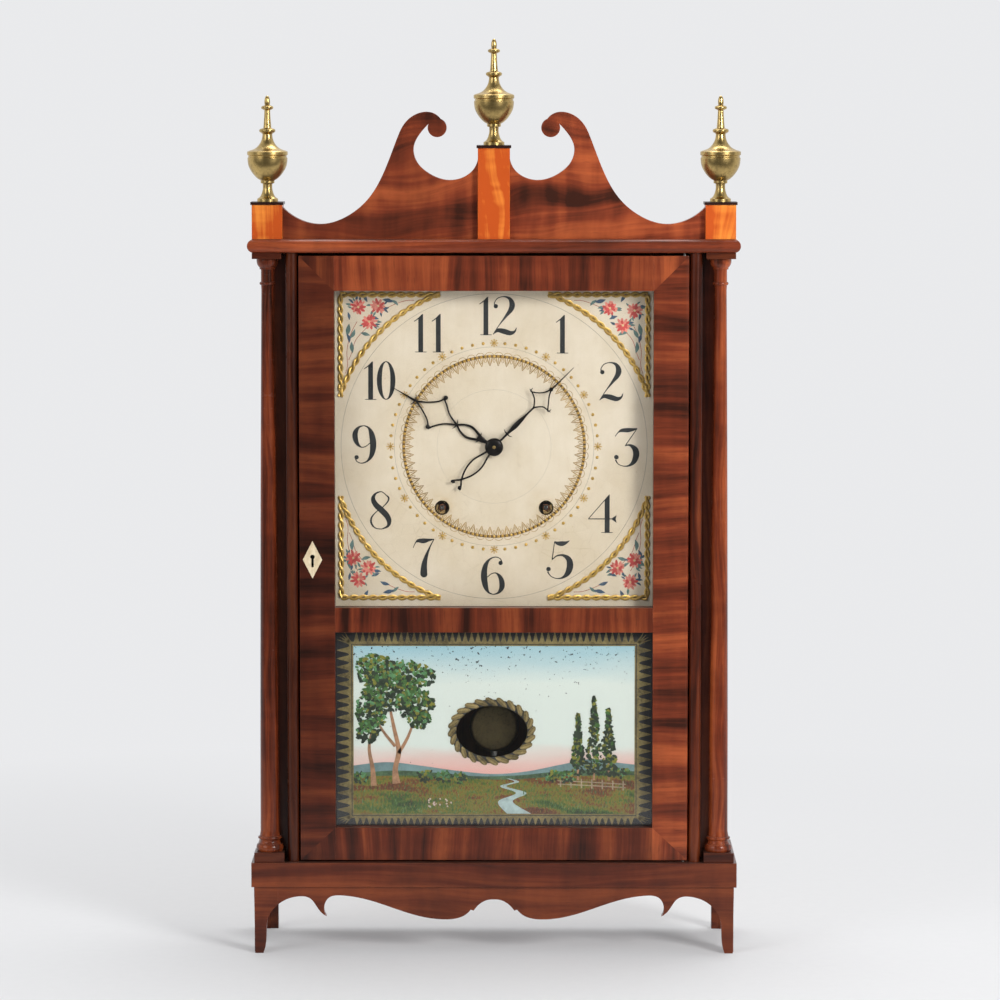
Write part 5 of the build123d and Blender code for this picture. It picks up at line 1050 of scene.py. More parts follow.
class ClockDialCorners(bpy.types.Operator):
    """Gilt ropes and sprays of daisies in the dial's corners"""
    bl_idname = "clock.dial_corners"
    bl_label = "Dial corners"

    def execute(self, context):
        clock = context.scene.pillar_clock
        dial = clock.dial
        luck = random.Random(clock.seed)
        ropes, sprays = Shape(), Shape()
        edge_x, edge_z, arc = 134.6 * MM, 133.4 * MM, 142.2 * MM
        level = DIAL_FRONT - 0.55 * MM
        side_end = sqrt(arc**2 - edge_x**2) - 2 * MM
        top_end = sqrt(arc**2 - edge_z**2) - 2 * MM
        first, last = degrees(atan2(side_end, edge_x)), degrees(atan2(edge_z, top_end))
        for (side, rise), flowers in CORNERS:
            bow = [polar(arc, first + (last - first) * part / 40, (0, 0)) for part in range(41)]
            lines = (((edge_x, side_end), (edge_x, edge_z)), ((top_end, edge_z), (edge_x, edge_z)), bow)
            for line in lines:
                path = [(side * x, level, DIAL_CENTRE_Z + rise * z) for x, z in line]
                ropes.rope(path, 1.55 * MM, 17.0 * MM, 2, 1.15 * MM, 0.42, 7, 1.1 * MM)
                # Painted shade: a dark band under each rope, which shows in the gaps between its strands.
                ropes.stroke([(x, z, 1.2 * MM) for x, y, z in path], DIAL_FRONT - 0.02 * MM, DIAL_FRONT, 1,
                             steps=2)
            self.spray(sprays, side, rise, flowers, luck)
        ropes.finish("dial_corner_ropes", "case", "dial_paint", [gilding(dial), gilt_shadow()])
        tints = [brushed_paint(name, tint, 0.3, 0.5) for name, tint in (
            ("Red petals", dial.petal), ("Pink petals", dial.petal_pale), ("Green leaves", dial.leaf),
            ("Blue leaves", dial.leaf_dark), ("Flower hearts", colour(0.62, 0.45, 0.22)),
            ("Red stems", colour(0.42, 0.09, 0.055)))]
        sprays.finish("dial_flower_sprays", "case", "dial_paint", tints)
        return {"FINISHED"}

    def spray(self, shape, side, rise, flowers, luck):
        """The flowers, leaves and stems of one corner."""
        for x, z in flowers:
            self.daisy(shape, (x * MM, DIAL_CENTRE_Z + z * MM), luck)
        for x, z, angle, size, slot in LEAVES:
            turn = angle if side > 0 else 180 - angle
            turn = turn if rise > 0 else -turn
            self.leaf(shape, (side * x * MM, DIAL_CENTRE_Z + rise * z * MM), turn, 1.25 * size, slot, luck)
        for stem in STEMS:
            line = [(side * x * MM, DIAL_CENTRE_Z + rise * z * MM, 0.5 * MM) for x, z in stem]
            shape.stroke(line, DIAL_FRONT - 0.025 * MM, DIAL_FRONT, 5, steps=6)

    def leaf(self, shape, root, angle, size, slot, luck):
        """One pointed leaf of a single brush stroke."""
        tip = polar(size * MM, angle, root)
        middle = polar(size * 0.5 * MM, angle + luck.uniform(-12, 12), root)
        near = DIAL_FRONT - (0.03 + luck.uniform(0.0, 0.02)) * MM
        line = [(*root, 0.4 * MM), (*middle, size * 0.36 * MM), (*tip, 0.3 * MM)]
        shape.stroke(line, near, DIAL_FRONT, slot, steps=5)

    def daisy(self, shape, centre, luck):
        """Two rings of petals round a pale heart, with leaves behind them."""
        for each in range(6):
            angle = luck.uniform(0, 360)
            self.leaf(shape, polar(5.2 * MM, angle, centre), angle + luck.uniform(-35, 35),
                      luck.uniform(4, 6.5),
                      luck.choice((2, 2, 3)), luck)
        for layer, (count, reach) in enumerate(((11, 7.2), (8, 4.8))):
            for petal in range(count):
                angle = petal * 360 / count + luck.uniform(-8, 8) + 15 * layer
                tip = polar(reach * MM * luck.uniform(0.85, 1.05), angle, centre)
                middle = polar(reach * 0.62 * MM, angle + luck.uniform(-4, 4), centre)
                near = DIAL_FRONT - (0.06 + 0.03 * layer + 0.008 * (petal % 3)) * MM
                shape.stroke([(*polar(0.8 * MM, angle, centre), 0.7 * MM), (*middle, 2.5 * MM),
                              (*tip, 1.1 * MM)], near,
                             DIAL_FRONT, luck.choice((0, 0, 1) if layer else (1, 1, 0)), steps=4)
        shape.dome(*centre, 1.3 * MM, DIAL_FRONT, 0.2 * MM, 4, 8)


# ---- Hands and winding holes ----
HOUR_ANGLE = 149.6
MINUTE_ANGLE = 45.0
WIRE_THICKNESS = 0.58 * MM
WIRE_DEPTH = 0.6 * MM
SQUARE_HALF = 1.9 * MM


class Hand(Shape):
    """A forged hand, drawn as (along, aside) in millimetres from the middle of the dial."""

    def __init__(self, angle, depth):
        super().__init__()
        self.angle, self.depth = radians(angle), depth

    def places(self, points):
        """Points of the hand as places."""
        run = Vector((cos(self.angle), 0, sin(self.angle)))
        aside = Vector((-sin(self.angle), 0, cos(self.angle)))
        return [Vector((0, self.depth, DIAL_CENTRE_Z)) + run * u * MM + aside * v * MM for u, v in points]

    def wire(self, points, widths):
        """A forged wire, with its widths at the given points."""
        line = smoothed([(*point, width) for point, width in zip(points, widths)], 7)
        radii = [width * MM / 2 for u, v, width in line]
        places = self.places([(u, v) for u, v, width in line])
        self.tube(places, radii, 0, 8, min(1.0, WIRE_THICKNESS / max(radii)))

    def ball(self, point, radius, depth):
        """A forged ball, flattened front to back by depth."""
        self.knob(self.places([point])[0], radius * MM, 0, depth)


class ClockHands(bpy.types.Operator):
    """Forged and blackened hands with loops, balls and a domed boss"""
    bl_idname = "clock.hands"
    bl_label = "Hands"

    def execute(self, context):
        metal = context.scene.pillar_clock.metal
        black = old_metal("Blackened steel of the hands", metal.black, colour(0.035, 0.024, 0.016),
                          rough=0.30,
                          film=0.45, patches=180.0, metallic=0.75)
        brass = old_metal("Brass pin", metal.brass, metal.tarnish, rough=0.3)
        self.minute(black, brass)
        self.hour(black)
        return {"FINISHED"}

    def minute(self, black, brass):
        """Minute hand, with a concave square, a needle and a looped tail."""
        hand = Hand(MINUTE_ANGLE, MINUTE_HIGH.y - WIRE_DEPTH)
        hand.wire([(5, 0), (14, 0), (19, 0), (25.7, 0), (33, 0), (40.8, 0), (49.4, 0)],
                  [2.0, 1.9, 2.4, 4.3, 3.6, 1.7, 1.7])
        for sign in (-1, 1):
            u, v = (58.3, 12.6) if sign > 0 else (56.5, -11.8)
            hand.wire([(48.6, 0), (51.2, 1.5 * sign), (55.4, 5.6 * sign), (u - 0.4, v - 1.4 * sign),
                       (u, v + 1.6 * sign)], [1.5, 1.3, 1.2, 1.2, 0.5])
            hand.wire([(u + 2.2, v + 0.2 * sign), (u - 0.8, v - 0.8 * sign), (61.2, 6.2 * sign),
                       (66.0, 2.4 * sign), (71.2, 0.4)], [0.5, 1.2, 1.1, 1.2, 1.5])
            hand.wire([(16.5, 0), (16.3, 2.4 * sign), (17.4, 4.6 * sign)], [1.6, 1.0, 0.5])
            hand.wire([(-6, 1.4 * sign), (-11, 2.6 * sign), (-21, 5.0 * sign), (-31, 4.0 * sign),
                       (-40.3, 0.0),
                       (-44.6, -3.4 * sign), (-47.6, -5.4 * sign), (-48.0, -3.0 * sign)],
                      [2.0, 1.7, 1.5, 1.5, 1.6, 1.5, 1.4, 1.0])
            hand.ball((-46.6, -3.6 * sign), 1.5, 0.5)
        hand.ball((71.2, 0.4), 1.9, 0.42)
        hand.wire([(71, 0.2), (84, 0), (98.7, 0)], [1.6, 1.0, 0.5])
        centre = (0, MINUTE_HIGH.y, DIAL_CENTRE_Z)
        rise = MINUTE_HIGH.y - MINUTE_LOW.y
        boss = [(3.0, 0.0), (7.7, 0.0), (8.0, 0.30), (7.9, 0.48), (7.2, 0.70), (5.8, 0.83), (3.4, 0.90),
                (1.6, 0.91)]
        pin = [(1.5, 0.8), (1.5, 0.97), (1.0, 1.0)]
        for profile, slot, steps in ((boss, 0, 40), (pin, 1, 16)):
            hand.turned([(radius * MM, -rise * part) for radius, part in profile], centre, slot, steps)
        hand.finish("minute_hand_forged", "minute", "blued_steel", [black, brass], 50.0, ("minute_hand",))

    def hour(self, black):
        """Hour hand, with an eye loop, a wide open loop and a needle."""
        hand = Hand(HOUR_ANGLE, HOUR_HIGH.y - WIRE_DEPTH)
        hand.wire([(5.5, 0), (9, 0), (12.4, 0), (17, 0)], [3.0, 3.2, 5.2, 3.0])
        for sign in (-1, 1):
            u, v = (59.1, 14.3) if sign > 0 else (58.3, -15.7)
            hand.wire([(12, 0.8 * sign), (17.0, 2.6 * sign), (25, 5.0 * sign), (32, 3.6 * sign), (38.2, 0.0),
                       (48, -4.8 * sign), (54.6, -10.8 * sign), (u, -abs(v) * sign)],
                      [2.4, 2.3, 2.2, 1.9, 1.8, 1.5, 1.5, 1.7])
            hand.wire([(u, v), (61.2, 10.8 * sign), (65.8, 7.0 * sign), (72.2, 3.2 * sign), (79.1, 0)],
                      [1.7, 1.4, 1.4, 1.4, 1.7])
            hand.ball((u, v), 2.1, 0.38)
            for cross, reach, width in ((14.6, 5.0, 1.6), (38.2, 4.6, 1.2), (80.6, 5.0, 1.1)):
                hand.wire([(cross, 0), (cross + 0.3, reach * 0.5 * sign), (cross + 1.4, reach * sign)],
                          [width, width * 0.8, 0.5])
        hand.wire([(78.6, 0), (83, 0), (92, 0), (103.4, 0)], [1.7, 2.0, 1.1, 0.5])
        ring = [(4.5, 0.0), (6.8, 0.0), (7.0, 0.2), (7.0, 1.0), (6.7, 1.2), (4.5, 1.2)]
        hand.turned([(radius * MM, -along * MM) for radius, along in ring], (0, HOUR_HIGH.y, DIAL_CENTRE_Z),
                    0,
                    32, hollow=True)
        hand.finish("hour_hand_forged", "hour", "blued_steel", [black], 50.0, ("hour_hand",))


class ClockWindingHoles(bpy.types.Operator):
    """Turned collets in the dial, with the squared ends of the winding arbors inside"""
    bl_idname = "clock.winding_holes"
    bl_label = "Winding holes"

    def execute(self, context):
        metal = context.scene.pillar_clock.metal
        # The collets are near black: tarnish, and painted shade for the dark inside the winding holes.
        rim = old_metal("Dark collets, tarnish and painted shade", colour(0.048, 0.035, 0.019), colour(0.014, 0.011, 0.008),
                        rough=0.32,
                        film=0.55, patches=200.0)
        steel = old_metal("Winding squares", metal.steel, metal.iron, rough=0.25)
        front, back = BUSH_LOW.y, BUSH_HIGH.y
        rows = [(6.45, 1.0), (6.45, 0.12), (6.2, 0.02), (5.7, 0.0), (5.35, 0.03), (5.2, 0.10), (5.05, 0.14),
                (5.0, 0.3), (5.0, 1.0)]
        collets = Shape()
        for side in (-1, 1):
            place = (side * WINDING_X, front, WINDING_Z)
            collets.turned([(radius * MM, (back - front) * part) for radius, part in rows], place, 0, 40,
                           hollow=True)
        collets.finish("winding_collets", "case", "brass", [rim], 35.0, ("winding_bushes",))
        for side, body in ((1, "time_drum"), (-1, "strike_drum")):
            square = Shape()
            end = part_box(body)[0].y
            sections = ((end + 2.0 * MM, 1.0), (end - 0.9 * MM, 1.0), (end - 1.3 * MM, 0.72))
            points = [(side * WINDING_X + a * SQUARE_HALF * size, y, WINDING_Z + b * SQUARE_HALF * size)
                      for y, size in sections for a, b in ((-1, -1), (1, -1), (1, 1), (-1, 1))]
            square.add(points, [(0, 1, 2, 3), (11, 10, 9, 8)] + around(0, 4, 4) + around(4, 8, 4))
            square.finish(body + "_square", body, "steel", [steel], 30.0)
        return {"FINISHED"}


# ---- Painted tablet ----
OVAL = (-2.0 * MM, 194.5 * MM)
PAINT_BACK = GLASS_HIGH.y + 0.90 * MM
SKY_FRONT = GLASS_HIGH.y + 0.78 * MM
# How far in front of the sky each layer of paint lies, in millimetres
LIFTS = {"far hills": 0.03, "near hills": 0.05, "meadow": 0.08, "stream": 0.10, "grass": 0.11, "posts": 0.22,
         "rails": 0.24, "bark": 0.30, "leaves": 0.31, "flowers": 0.34, "rope": 0.42}


def lifted(layer, more=0.0):
    """Depth of a layer of paint."""
    return SKY_FRONT - (LIFTS[layer] + more) * MM


def oval_points(width, height, angles):
    """Points of the tablet's oval at the given angles."""
    return [(OVAL[0] + width / 2 * cos(radians(a)), OVAL[1] + height / 2 * sin(radians(a))) for a in angles]


def edge_points(low_x, high_x, low_z, high_z, angles):
    """Where rays from the oval's middle meet a rectangle."""
    points = []
    for angle in angles:
        dx, dz = cos(radians(angle)), sin(radians(angle))
        reach = min(
            (high_x - OVAL[0]) / dx if dx > 1e-9 else (low_x - OVAL[0]) / dx if dx < -1e-9 else 1e9,
            (high_z - OVAL[1]) / dz if dz > 1e-9 else (low_z - OVAL[1]) / dz if dz < -1e-9 else 1e9)
        points.append((OVAL[0] + reach * dx, OVAL[1] + reach * dz))
    return points


def sky_paint(tablet, low_z, high_z):
    """Sky that fades from blue to off white and then pink, with flaked specks."""
    material, w, shader = new_material("Painted sky")
    place = w.place()
    up = w.spread(w.axes(place)[2], low_z, high_z)
    drift = w.noise(w.scaled(place, (0.25, 1.0, 1.0)), 60.0, 4.0, 0.6)
    tone = w.plus(up, w.times(w.minus(drift, 0.5), 0.10), clamp=True)
    sky = w.ramp(tone, [(0.0, tablet.sky_low), (0.26, tablet.sky_low), (0.42, tablet.sky_middle),
                        (0.78, tablet.sky_middle), (1.0, tablet.sky_top)])
    flakes = w.noise(place, 330.0, 3.0, 0.62)
    patches = w.noise(place, 26.0, 2.0, 0.5)
    limit = w.spread(w.plus(up, w.times(patches, 0.5)), 0.85, 1.45, 0.72, 0.59)
    lost = w.math("GREATER_THAN", flakes, limit)
    w.dress(shader, w.mix(lost, sky, colour(0.010, 0.010, 0.010)), w.spread(drift, 0.3, 0.7, 0.45, 0.6),
            w.bump(drift, 0.15, 0.0001))
    return material


def meadow_paint():
    """Grass in green, ochre and brown bands of short strokes."""
    material, w, shader = new_material("Painted meadow")
    place = w.place()
    bands = w.noise(w.scaled(place, (0.22, 1.0, 1.0)), 62.0, 3.0, 0.55, 0.4)
    strokes = w.noise(w.scaled(place, (1.0, 1.0, 0.45)), 620.0, 3.0, 0.7)
    tone = w.plus(bands, w.times(w.minus(strokes, 0.5), 0.42), clamp=True)
    tint = w.ramp(tone, [(0.30, colour(0.009, 0.020, 0.004)), (0.41, colour(0.034, 0.088, 0.007)),
                         (0.50, colour(0.160, 0.140, 0.008)), (0.57, colour(0.140, 0.037, 0.006)),
                         (0.70, colour(0.034, 0.010, 0.003))])
    w.dress(shader, tint, w.spread(strokes, 0.3, 0.7, 0.45, 0.6),
            w.bump(strokes, 0.3, 0.0001))
    return material


class ClockTablet(bpy.types.Operator):
    """Tablet painted behind its glass: border of leaves, a landscape, and a rope round an oval"""
    bl_idname = "clock.painted_tablet"
    bl_label = "Painted tablet"

    def execute(self, context):
        clock = context.scene.pillar_clock
        tablet = clock.tablet
        luck = random.Random(clock.seed + 1)
        low_x, high_x = -OPENING_X + tablet.border_side, OPENING_X - tablet.border_side
        low_z, high_z = TABLET_LOW_Z + tablet.border_foot, TABLET_HIGH_Z - tablet.border_top
        picture = (low_x, high_x, low_z, high_z)
        self.border(tablet, picture)
        self.sky(tablet, picture)
        self.land(picture, luck)
        self.trees(picture, luck)
        self.rope(tablet)
        return {"FINISHED"}

    def border(self, tablet, picture):
        """Black border with bronze leaves that point outwards."""
        low_x, high_x, low_z, high_z = picture
        shape = Shape()
        out_x, out_low, out_high = OPENING_X - 0.02 * MM, TABLET_LOW_Z + 0.02 * MM, TABLET_HIGH_Z - 0.02 * MM
        outer = [(-out_x, out_low), (out_x, out_low), (out_x, out_high), (-out_x, out_high)]
        inner = [(low_x, low_z), (high_x, low_z), (high_x, high_z), (low_x, high_z)]
        black_front = SKY_FRONT - 0.10 * MM
        gold_front = black_front - 0.08 * MM
        shape.band(inner, outer, black_front, PAINT_BACK, 0)
        for grow, width in ((0.0, 1.1 * MM), (1.8 * MM, 1.9 * MM)):
            ring = [[(low_x - g, low_z - g), (high_x + g, low_z - g), (high_x + g, high_z + g),
                     (low_x - g, high_z + g)] for g in (grow, grow + width)]
            shape.band(ring[0], ring[1], gold_front - 0.02 * MM, black_front, 1)
        start = 3.5 * MM
        sides = (
            (low_x, high_x, low_z - start, -1, tablet.border_foot - start - 0.6 * MM, 5.6, True),
            (low_x, high_x, high_z + start, 1, tablet.border_top - start - 0.6 * MM, 5.6, True),
            (low_z, high_z, low_x - start, -1, tablet.border_side - start - 0.8 * MM, 7.4, False),
            (low_z, high_z, high_x + start, 1, tablet.border_side - start - 0.8 * MM, 7.4, False),
        )
        half_leaf = ((0.49, 0.0), (0.34, 0.16), (0.24, 0.45), (0.12, 0.78), (0.0, 1.0))
        for first, last, base, sign, reach, pitch, level in sides:
            count = round((last - first) / (pitch * MM))
            step = (last - first) / count
            for index in range(count):
                middle = first + step * (index + 0.5)
                leaf = [(middle - across * step, base + sign * reach * up) for across, up in half_leaf]
                leaf += [(middle + across * step, base + sign * reach * up) for across,
                         up in half_leaf[-2::-1]]
                shape.prism(leaf if level else [(b, a) for a, b in leaf], gold_front, black_front, 1)
        for x, side in ((low_x, -1), (high_x, 1)):
            for z, rise, reach in ((low_z, -1, tablet.border_foot), (high_z, 1, tablet.border_top)):
                root_x, root_z = x + side * 2 * MM, z + rise * 2 * MM
                for part in (0.0, 0.35, 0.65, 1.0):
                    tip = (x + side * (tablet.border_side - 1.2 * MM) * (1 - 0.45 * part),
                           z + rise * (reach - 1.0 * MM) * (0.45 + 0.55 * part))
                    shape.stroke([(root_x, root_z, 2.6 * MM), (*tip, 0.3 * MM)], gold_front + 0.01 * MM,
                                 black_front,
                                 1, steps=3)
        gold = brushed_paint("Bronze leaves", tablet.border_gold, 0.45, 0.5, 420.0, 0.25,
                             colour(0.300, 0.235, 0.085))
        black = brushed_paint("Black border", tablet.border, 0.3, 0.45)
        shape.finish("tablet_border", "door", "painted_glass", [black, gold], 30.0)

    def sky(self, tablet, picture):
        """Sky round the oval, and the grey coat behind it."""
        low_x, high_x, low_z, high_z = picture
        corners = [degrees(atan2(z - OVAL[1], x - OVAL[0])) % 360 for x in (low_x, high_x) for z in (low_z,
                                                                                                     high_z)]
        angles = sorted(set([4.0 * turn for turn in range(90)] + corners))
        inside = oval_points(tablet.oval_width - tablet.rope_width, tablet.oval_height - tablet.rope_width,
                             angles)
        outside = edge_points(low_x, high_x, low_z, high_z, angles)
        shape = Shape()
        shape.band(inside, outside, SKY_FRONT, PAINT_BACK - 0.05 * MM, 0)
        shape.finish("tablet_sky", "door", "painted_glass", [sky_paint(tablet, low_z, high_z)], 30.0)
        outer = edge_points(-OPENING_X + 0.05 * MM, OPENING_X - 0.05 * MM, TABLET_LOW_Z + 0.05 * MM,
                            TABLET_HIGH_Z - 0.05 * MM, angles)
        coat = Shape()
        coat.band(inside, outer, PAINT_BACK, PAINT_BACK + 0.15 * MM, 0)
        coat.finish("tablet_backing_coat", "door", "painted_glass",
                    [brushed_paint("Backing coat", colour(0.16, 0.13, 0.10), 0.3, 0.65, 120.0)], 30.0)

    def land(self, picture, luck):
        """Hills, a stream and a meadow with short strokes of grass."""
        low_x, high_x, low_z, high_z = picture
        wide = high_x - low_x
        shape = Shape()

        def ridge(heights, near, slot, foot):
            line = smoothed([(low_x + wide * part, low_z + up * MM) for part, up in heights], 8)
            shape.prism([(low_x, low_z + foot * MM)] + line + [(high_x, low_z + foot * MM)], near, SKY_FRONT,
                        slot)

        ridge(((0, 43), (0.12, 46), (0.25, 42.5), (0.38, 38), (0.5, 35.5), (0.62, 38), (0.74, 44), (0.85, 49),
               (0.93, 46), (1, 44)), lifted("far hills"), 0, 20)
        ridge(((0, 36), (0.15, 38.5), (0.3, 36.5), (0.44, 33.5), (0.58, 34.2), (0.72, 37.5), (0.88, 39.5),
               (1, 38)),
              lifted("near hills"), 1, 16)
        ridge(((0, 33), (0.2, 34), (0.4, 31.5), (0.55, 30.5), (0.75, 33.5), (1, 34.5)), lifted("meadow"), 2,
              0)
        stream = smoothed([(12, 31.5, 1.6), (20, 28.5, 3.0), (8, 24.5, 4.0), (24, 18.5, 6.5), (10, 11.0, 9.0),
                           (22, 0.2, 15.0)], 8)
        left, right = ([((x + side * width / 1.4) * MM, low_z + up * MM) for x, up, width in stream]
                       for side in (-1, 1))
        shape.prism(left + right[::-1], lifted("stream"), SKY_FRONT, 3)
        for count in range(1100):
            x = luck.uniform(low_x + 2 * MM, high_x - 2 * MM)
            up = luck.uniform(0.4, 31.0)
            if abs(x / MM - 15) < 4 + (31 - up) * 0.32:
                continue
            lean, size = luck.uniform(-0.7, 1.1), luck.uniform(1.2, 3.2) * (1.25 - up / 50)
            z = low_z + up * MM
            near = lifted("grass", 0.0001 * count)
            warm = sin(x * 38 + up * 0.35) + luck.uniform(-0.6, 0.6) > 0.35
            slot = luck.choice((5, 6, 6, 4) if warm else (4, 4, 5, 7))
            shape.stroke([(x, z, 0.75 * MM), (x + lean * MM, z + size * MM, 0.2 * MM)], near, SKY_FRONT, slot)
        for post in range(7):
            x, up = (58 + post * 9.2) * MM, 24.0 - post * 0.5
            shape.prism([(x, low_z + up * MM), (x + 1.2 * MM, low_z + up * MM),
                         (x + 1.2 * MM, low_z + (up + 8) * MM),
                         (x, low_z + (up + 8.4) * MM)], lifted("posts"), SKY_FRONT, 8)
        for rail in (2.6, 5.6):
            line = ((56, 24, 0.8), (86, 22.6, 0.8), (116, 20.8, 0.9))
            shape.stroke([(x * MM, low_z + (up + rail) * MM, width * MM) for x, up, width in line],
                         lifted("rails"), SKY_FRONT, 8)
        tints = [brushed_paint("Far hills", colour(0.140, 0.230, 0.235), 0.25, 0.5, 140.0),
                 brushed_paint("Near hills", colour(0.050, 0.105, 0.045), 0.5, 0.5, 420.0), meadow_paint(),
                 brushed_paint("Stream", colour(0.330, 0.430, 0.420), 0.35, 0.4, 160.0)]
        tints += [brushed_paint(name, tint, 0.35, 0.5, 500.0) for name, tint in (
            ("Grass strokes", colour(0.036, 0.098, 0.008)), ("Straw strokes", colour(0.165, 0.140, 0.012)),
            ("Brown strokes", colour(0.115, 0.034, 0.006)), ("Pale strokes", colour(0.085, 0.185, 0.055)),
            ("Fence", colour(0.330, 0.255, 0.170)))]
        shape.finish("tablet_land", "door", "painted_glass", tints, 30.0)

    def trees(self, picture, luck):
        """Two broad trees on the left, poplars on the right, and bushes between."""
        low_x, high_x, low_z, high_z = picture
        shape = Shape()

        def limb(points):
            line = [(x * MM, low_z + up * MM, width * MM) for x, up, width in points]
            shape.stroke(line, lifted("bark"), SKY_FRONT, 0)

        limb([(-86, 27, 7.0), (-87, 40, 4.6), (-84, 56, 4.2), (-88, 76, 3.2), (-92, 96, 2.0)])
        limb([(-84, 54, 3.2), (-76, 68, 2.6), (-70, 84, 1.6)])
        limb([(-87, 60, 2.8), (-98, 74, 2.2), (-106, 88, 1.4)])
        limb([(-106, 25, 5.4), (-107, 40, 3.8), (-110, 58, 2.8), (-108, 72, 1.8)])
        for x in (74, 88, 101):
            limb([(x, 30, 2.2), (x, 46, 1.4)])

        def foliage(x, up, half_x, half_z, count, size, slots):
            for each in range(count):
                angle, reach = luck.uniform(0, 360), sqrt(luck.random())
                px = x + half_x * reach * cos(radians(angle))
                pz = up + half_z * reach * sin(radians(angle))
                big = size * luck.uniform(0.6, 1.4)
                tilt = luck.uniform(0, 180)
                outline = []
                for turn in range(7):
                    dx, dz = polar(big * luck.uniform(0.65, 1.15), turn * 51.4, (0, 0))
                    dz *= 0.62
                    qx = px + dx * cos(radians(tilt)) - dz * sin(radians(tilt))
                    qz = pz + dx * sin(radians(tilt)) + dz * cos(radians(tilt))
                    outline.append((min(max(qx * MM, low_x), high_x),
                                    min(max(low_z + qz * MM, low_z), high_z - 0.01 * MM)))
                shaded = (pz - up) / half_z + luck.uniform(-0.9, 0.9) < -0.35
                slot = 1 if shaded else luck.choice(slots)
                near = lifted("leaves", 0.10 * luck.random())
                shape.prism(outline, near, near + 0.02 * MM, slot)

        for x, up, half_x, half_z, count in (
                (-92, 108, 24, 17, 190), (-70, 98, 17, 13, 120), (-108, 92, 14, 17, 120),
                (-80, 122, 28, 14, 170),
                (-104, 128, 18, 14, 130), (-66, 84, 11, 8, 60), (-111, 74, 10, 11, 70)):
            foliage(x, up, half_x, half_z, round(1.7 * count), 2.2, (2, 2, 3, 1, 4))
        for x, top, half in ((74, 84, 6.5), (88, 98, 7.5), (101, 88, 7.0)):
            for row in range(9):
                part = row / 8
                foliage(x, 40 + (top - 40) * part, half * (1.0 - 0.85 * part**1.6), 6.0, 30, 1.9,
                        (1, 2, 1, 3))
        for x, up, half in ((-60, 34, 9), (-44, 33, 8), (-30, 32, 6), (52, 34, 7), (112, 36, 9),
                            (-118, 32, 7),
                            (64, 33, 8)):
            foliage(x, up, half, 5.0, 34, 1.9, (1, 2, 4, 3))
        for count in range(16):
            x, up = luck.uniform(-58, -34), luck.uniform(6, 14)
            shape.prism([polar(luck.uniform(0.7, 1.1) * MM, turn, (x * MM, low_z + up * MM))
                         for turn in range(0, 360, 60)], lifted("flowers"), lifted("bark"), 5)
        tints = [brushed_paint(name, tint, 0.35, 0.5, 420.0) for name, tint in (
            ("Bark", colour(0.330, 0.170, 0.085)), ("Dark leaves of the trees", colour(0.009, 0.022, 0.007)),
            ("Green leaves of the trees", colour(0.040, 0.120, 0.016)),
            ("Mossy leaves", colour(0.190, 0.185, 0.014)),
            ("Cool leaves", colour(0.085, 0.235, 0.090)), ("White flowers", colour(0.560, 0.420, 0.380)))]
        shape.finish("tablet_trees", "door", "painted_glass", tints, 30.0)

    def rope(self, tablet):
        """Bronze rope round the oval, with dark gaps between its strands."""
        shape = Shape()
        width, strands = tablet.rope_width, 24
        near = lifted("rope")
        rings = [oval_points(tablet.oval_width - grow, tablet.oval_height - grow,
                             [3.0 * turn for turn in range(120)])
                 for grow in (2.0 * width, 0.5 * width)]
        shape.band(rings[0], rings[1], near, SKY_FRONT, 0)
        sections = ((0.03, -1.0, 1.0), (0.18, -0.8, 3.4), (0.5, 0.0, 4.5), (0.82, 0.8, 3.8), (0.98, 1.0, 1.4))
        for strand in range(strands):
            for shift, size, slot, lift in ((0.0, 1.0, 1, 0.08 + 0.02 * (strand % 3)),
                                            (-0.10, 0.30, 2, 0.16)):
                line = []
                for part, lean, thick in sections:
                    grow, turn = 2 * width * (1 - part), radians(360 / strands * (strand + shift + lean * 0.5))
                    line.append((OVAL[0] + (tablet.oval_width - grow) / 2 * cos(turn),
                                 OVAL[1] + (tablet.oval_height - grow) / 2 * sin(turn), thick * size * MM))
                shape.stroke(line, near - lift * MM, near, slot)
        black = brushed_paint("Rope shadow", tablet.border, 0.3, 0.45)
        gold = brushed_paint("Bronze rope", tablet.border_gold, 0.5, 0.45, 380.0, 0.25,
                             colour(0.290, 0.215, 0.080))
        light = brushed_paint("Bronze rope lights", colour(0.300, 0.225, 0.090), 0.4, 0.4, 380.0, 0.3)
        shape.finish("tablet_rope", "door", "painted_glass", [black, gold, light], 50.0)


class ClockGlass(bpy.types.Operator):
    """Old window glass in the door"""
    bl_idname = "clock.glass"
    bl_label = "Glass"

    def execute(self, context):
        for name, node in (("Old dial glass", "dial_glass"), ("Old tablet glass", "tablet_glass")):
            material, w, shader = new_material(name)
            wave = w.noise(w.place(), 11.0, 2.0, 0.5)
            smear = w.noise(w.scaled(w.place(), (1.0, 1.0, 0.3)), 40.0, 3.0, 0.6)
            w.dress(shader, colour(0.985, 0.995, 0.985), w.spread(smear, 0.45, 0.8, 0.0, 0.05),
                    w.bump(wave, 0.05, 0.0006))
            shader.inputs["Transmission Weight"].default_value = 1.0
            shader.inputs["IOR"].default_value = 1.45
            paths = w.put("LightPath").outputs
            through = w.math("MAXIMUM", paths["Is Shadow Ray"], paths["Is Diffuse Ray"])
            w.show(through, shader, w.put("BsdfTransparent"))
            finish_nodes(material, node)
        return {"FINISHED"}


